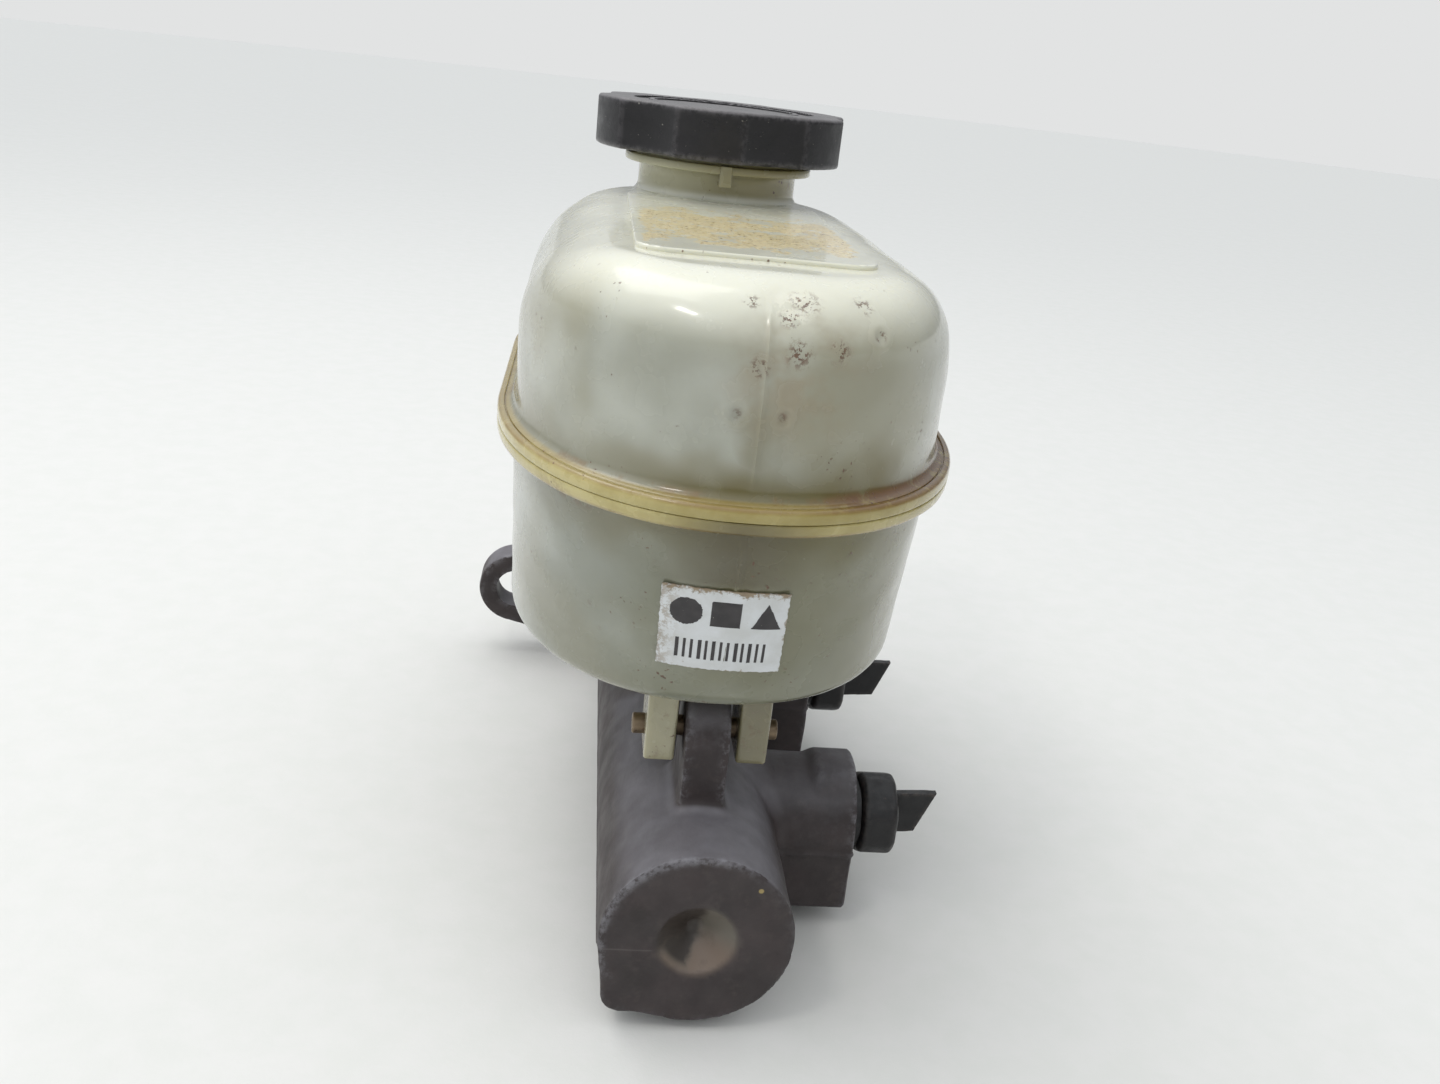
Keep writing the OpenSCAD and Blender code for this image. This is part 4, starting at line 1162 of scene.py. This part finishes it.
def plug_solid(x, v, w, fin_len):
    """Plug along X: shank, collar, six-sided head and finger fin."""
    radial = np.hypot(v, w)
    solid = slab(radial - PORT_R + 0.07, x, 25, 37, 0.5)
    collar = slab(radial - 7.4, x, PORT_X + 0.3, 39, 0.3)
    flats = [np.abs(v * math.cos(a) + w * math.sin(a)) for a in (0, math.pi / 3, 2 * math.pi / 3)]
    hexagon = np.maximum.reduce(flats) - 8.57
    head = slab(rounded_max(hexagon, radial - 9.0, 0.3), x, 37.5, 45.5, 1.5)
    solid = np.minimum(np.minimum(solid, collar), head)
    corners = [(43, -4.8), (41.7 + fin_len, -4.0), (45.48 + fin_len, 5.7), (43, 5.2)]
    sides = []
    for i, (x0, z0) in enumerate(corners):
        x1, z1 = corners[(i + 1) % 4]
        length = math.hypot(x1 - x0, z1 - z0)
        sides.append(((x - x0) * (z1 - z0) - (w - z0) * (x1 - x0)) / length)
    fin = slab(np.maximum.reduce(sides), v, -0.9, 0.9, 0.35)
    return rounded_min(solid, fin, 0.7)


def build_plugs():
    material = plug_plastic()
    for side, port, fin_len in (("front", PORT_Y[0], 9.6), ("rear", PORT_Y[1], 13.0)):
        def shape(x, y, z):
            return plug_solid(x, y - port, z - PORT_Z, fin_len)
        faces = contour(shape, (24, port - 10, -9), (60, port + 10, 11), 0.38)
        mesh = build_mesh(f"{side}_plug", *faces, 36)
        mark_edges(mesh, 0.7)
        place(f"{side}_plug_moulded", mesh, material, f"{side}_plug",
              [f"{side}_port_plug"])


def roll_pin(x, y, z):
    """Slotted spring pin across the lugs."""
    radial = np.hypot(y - PIN_Y, z - PIN_Z)
    solid = slab(radial - PIN_R, x, -14, 14, 0.4)
    solid = rounded_max(solid, 1.1 - radial, 0.15)
    slot = np.maximum(np.abs(y - PIN_Y) - 0.35, z - PIN_Z)
    return rounded_max(solid, -slot, 0.12)


def ring_clip(x, y, z):
    """Internal retaining ring with two plier holes."""
    radial = np.hypot(x, z)
    flat = np.abs(radial - 12.85) - 1.05
    flat = np.maximum(flat, -box2(x, z, -3, 3, -16, -9, 0.2))
    lugs = np.hypot(np.abs(x) - 4.4, z + 10.6)
    flat = np.minimum(flat, lugs - 1.9)
    flat = np.maximum(flat, 0.9 - lugs)
    return slab(flat, y, 17.65, 19.05, 0.18)


def build_turned_parts():
    """Pistons, seals, washers and seats, each turned from its own profile."""
    materials = {
        "piston_alloy": turned_metal("piston_alloy", (150, 136, 96), (186, 172, 130), (110, 92, 60)),
        "seal_rubber": seal_rubber(),
        "plated_steel": turned_metal("plated_steel", (150, 148, 140), (190, 188, 180), (128, 112, 86)),
        "seat_brass": turned_metal("seat_brass", (156, 124, 62), (196, 164, 92), (96, 74, 44))}
    # profiles used twice: (distance from the axis, place along it)
    cup = [(6.02, 0), (11.0, 0), (11.08, -4.5), (9.6, -4.5), (9.2, -1.89), (7.6, -1.89),
           (7.4, -4.5), (6.02, -4.5)]
    spring_seat = [(3, -5), (5.9, -5), (5.9, 0), (10.2, 0), (10.2, 1.49), (3, 1.49)]
    grommet = [(6.02, 19), (10, 19), (9.9, 22), (10, 28), (12, 28), (12, 30.6), (6.02, 30.6)]
    cone = [(1.2, 19), (5.05, 19), (5.05, 20.5), (4, 20.5), (2, 23.5), (1.2, 23.5)]
    turns = np.linspace(0, 2 * math.pi, 24, endpoint=False)
    o_ring = [(16.9 + 1.35 * math.cos(a), 3.5 + 1.35 * math.sin(a)) for a in turns]
    origin, sides = (0, 0, 0), ("front", "rear")
    # body: its pieces as (piece, node, slot, axis, centre, edge radius, profile)
    parts = [("first_piston", [
        ("primary_piston_turned", "primary_piston", "piston_alloy", "y", origin, 0.35,
         [(4.5, 15), (11.05, 15), (11.05, 5.2), (7.6, 5.2), (7.6, 0.5), (11.05, 0.5), (11.05, -2.5),
          (7.6, -2.5), (7.6, -27.1), (11.05, -27.1), (11.05, -29.3), (6, -29.3), (6, -38), (0, -38),
          (0, -8.4), (4.5, -6)]),
        ("primary_cup_moulded", "primary_pressure_cup", "seal_rubber", "y", (0, -29.31, 0), 0.4, cup),
        ("primary_rear_seal_moulded", "primary_rear_seal", "seal_rubber", "y", origin, 0.4,
         [(7.62, 0.6), (11.08, 0.6), (10.8, 2.9), (11.08, 5.1), (7.62, 5.1)]),
        ("primary_spring_seat_turned", "primary_spring_seat", "plated_steel", "y", (0, -39.5, 0),
         0.3, spring_seat),
    ]), ("second_piston", [
        ("secondary_piston_turned", "secondary_piston", "piston_alloy", "y", origin, 0.35,
         [(0, -65), (11.05, -65), (11.05, -67), (7.6, -67), (7.6, -71.9), (11.05, -71.9),
          (11.05, -74.5), (7.6, -74.5), (7.6, -86.1), (11.05, -86.1), (11.05, -88.3), (6, -88.3),
          (6, -97), (0, -97)]),
        ("secondary_cup_moulded", "secondary_pressure_cup", "seal_rubber", "y", (0, -88.31, 0),
         0.4, cup),
        ("secondary_rear_cup_moulded", "secondary_rear_cup", "seal_rubber", "y", origin, 0.35,
         [(7.62, -71.8), (11.0, -71.8), (11.08, -67.3), (10.08, -67.3), (9.9, -68.9),
          (8.7, -68.9), (8.6, -67.3), (7.62, -67.3)]),
        ("secondary_spring_seat_turned", "secondary_spring_seat", "plated_steel", "y",
         (0, -98.5, 0), 0.3, spring_seat),
    ]), ("cylinder", [
        ("stop_washer_turned", "stop_washer", "plated_steel", "y", origin, 0.25,
         [(7, 15.1), (12.8, 15.1), (12.8, 17.6), (7, 17.6)]),
    ]), ("diaphragm", [
        ("cap_diaphragm_moulded", "cap_diaphragm", "seal_rubber", "z", (0, NECK_Y, 0), 0.4,
         [(0, 125.4), (14.6, 125.4), (14.6, 132.4), (15.0, 133.2), (14.6, 134), (14.6, 137.5),
          (20.6, 137.5), (20.6, 138.5), (13.0, 138.5), (13.0, 127), (0, 127)]),
    ]), ("cylinder", [
        *[(f"{side}_grommet_moulded", f"{side}_inlet_grommet", "seal_rubber", "z", (0, y, 0), 0.6,
           grommet) for side, y in zip(sides, INLET_Y)],
        *[(f"{side}_seat_turned", f"{side}_port_seat", "seat_brass", "x", (0, y, PORT_Z), 0.2,
           cone) for side, y in zip(sides, PORT_Y)],
        ("pilot_seal_moulded", "pilot_seal", "seal_rubber", "y", origin, 0, o_ring),
    ])]
    for body, pieces in parts:
        for name, node, slot, axis, centre, radius, corners in pieces:
            mesh = build_mesh(node, *turned(corners, axis, centre, radius), merge=True)
            place(name, mesh, materials[slot], body, [node])


def build_small_steel():
    """Slotted pin, retaining ring and the two springs."""
    worn = (0.35, 0.6)
    pin_steel = turned_metal("pin_steel", (96, 82, 66), (134, 118, 98), (70, 48, 34), 0.85, worn)
    dark = turned_metal("black_steel", (50, 47, 45), (74, 70, 66), (92, 62, 42), 0.9, worn, False)
    steel = turned_metal("spring_steel", (120, 120, 120), (170, 170, 168), (120, 96, 70), rings=False)
    pin = contour(roll_pin, (-15, PIN_Y - 3, PIN_Z - 3), (15, PIN_Y + 3, PIN_Z + 3), 0.22)
    place("roll_pin_slotted", build_mesh("pin", *pin), pin_steel, "cylinder",
          ["reservoir_roll_pin"])
    clip = contour(ring_clip, (-15, 17, -15), (15, 20, 15), 0.26)
    place("retaining_ring_formed", build_mesh("clip", *clip), dark, "cylinder",
          ["retaining_ring"])
    # name, body, coil radius, its two ends, turns, the end that stays put, share left at full stroke
    for name, body, radius, start, end, turns, seat, keep in (
            ("primary_spring", "second_piston", 8.4, -40.45, -64.05, 5.5, -65.0, 0.49),
            ("secondary_spring", "cylinder", 7.6, -99.45, -147.05, 9.5, -148.0, 0.737)):
        mesh = build_mesh(name, *coiled(radius, start, end, turns))
        piece = place(f"{name}_wound", mesh, steel, body, [name])
        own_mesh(piece)


# ---- stage, light and camera ------------------------------------------------------------

def build_stage():
    low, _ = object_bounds()
    mesh = bpy.data.meshes.new("floor")
    work = bmesh.new()
    bmesh.ops.create_circle(work, cap_ends=True, radius=6, segments=96)
    work.to_mesh(mesh)
    work.free()
    p = Paint("floor_paper")
    tone = p.blend(p.cloud(9, 4, 0.6, 0.3, 0.7), (219, 219, 215), (222, 221, 218))
    paper = p.finished(tone, p.cloud(30, 3, 0.5, 0.3, 0.7, 0.7, 0.85), ((1.5, 4, 0.7), 0.05))
    floor = place("floor", mesh, paper)
    floor.location.z = low.z - 0.0002


def area_light(name, size, power, place_at, aim, tint=(1, 1, 1)):
    light = bpy.data.lights.new(name, "AREA")
    light.shape = "RECTANGLE"
    light.size, light.size_y = size
    light.energy = power
    light.color = tint
    lamp = bpy.data.objects.new(name, light)
    bpy.context.scene.collection.objects.link(lamp)
    lamp.location = place_at
    lamp.rotation_euler = (Vector(aim) - Vector(place_at)).to_track_quat("-Z", "Y").to_euler()


def build_light():
    """Pale room, brighter overhead than at the sides, and two soft boxes."""
    world = bpy.data.worlds.new("studio")
    world.use_nodes = True
    n = Nodes(world.node_tree)
    axes = n.add("ShaderNodeSeparateXYZ", n.add("ShaderNodeTexCoord").outputs["Generated"]).outputs
    overhead = n.add("ShaderNodeMapRange", axes[2], 0.0, 0.9, 0.3, 1.42).outputs[0]
    sideways = n.add("ShaderNodeMapRange", axes[0], -1.0, 1.0, 1.3, 0.6).outputs[0]
    sky = n.tree.nodes["Background"]
    n.join((0.94, 0.97, 1.0, 1), sky.inputs["Color"])
    n.join(n.math("MULTIPLY", overhead, sideways), sky.inputs["Strength"])
    backdrop = n.add("ShaderNodeBackground", colour((226, 227, 227))).outputs[0]
    seen = n.add("ShaderNodeLightPath").outputs["Is Camera Ray"]
    choice = n.add("ShaderNodeMixShader", seen, sky.outputs[0], backdrop).outputs[0]
    n.join(choice, n.tree.nodes["World Output"].inputs[0])
    bpy.context.scene.world = world
    area_light("softbox_above", (0.6, 0.6), 2.2, (-0.35, 0.1, 0.9), (0, -0.08, 0.05), (1, 0.985, 0.96))
    area_light("lamp_front", (0.16, 0.1), 0.9, (-0.4, -0.5, 0.8), (0, -0.1, 0.1), (1, 0.97, 0.92))
    bpy.context.scene.view_settings.view_transform = "Standard"


def build_camera():
    """Camera close in front, looking down and a little to the left, leaning slightly."""
    azimuth, elevation, roll = math.radians(-7.22), math.radians(20.83), math.radians(6.46)
    back = Vector((math.sin(azimuth) * math.cos(elevation),
                   -math.cos(azimuth) * math.cos(elevation), math.sin(elevation)))
    right = Vector((0, 0, 1)).cross(back).normalized()
    up = back.cross(right)
    lean_right = right * math.cos(roll) + up * math.sin(roll)
    lean_up = back.cross(lean_right)
    data = bpy.data.cameras.new("camera")
    data.sensor_width = 36
    data.lens = 31.9
    data.clip_start, data.clip_end = 0.01, 50
    camera = bpy.data.objects.new("camera", data)
    bpy.context.scene.collection.objects.link(camera)
    turn = Matrix((lean_right, lean_up, back)).transposed()
    camera.matrix_world = Matrix.Translation((-0.0283, -0.3568, 0.15215)) @ turn.to_4x4()
    bpy.context.scene.camera = camera


build_cast_body()
build_upper_shell()
build_lower_shell()
build_label()
build_cap()
build_plugs()
build_turned_parts()
build_small_steel()
build_stage()
build_light()
build_camera()
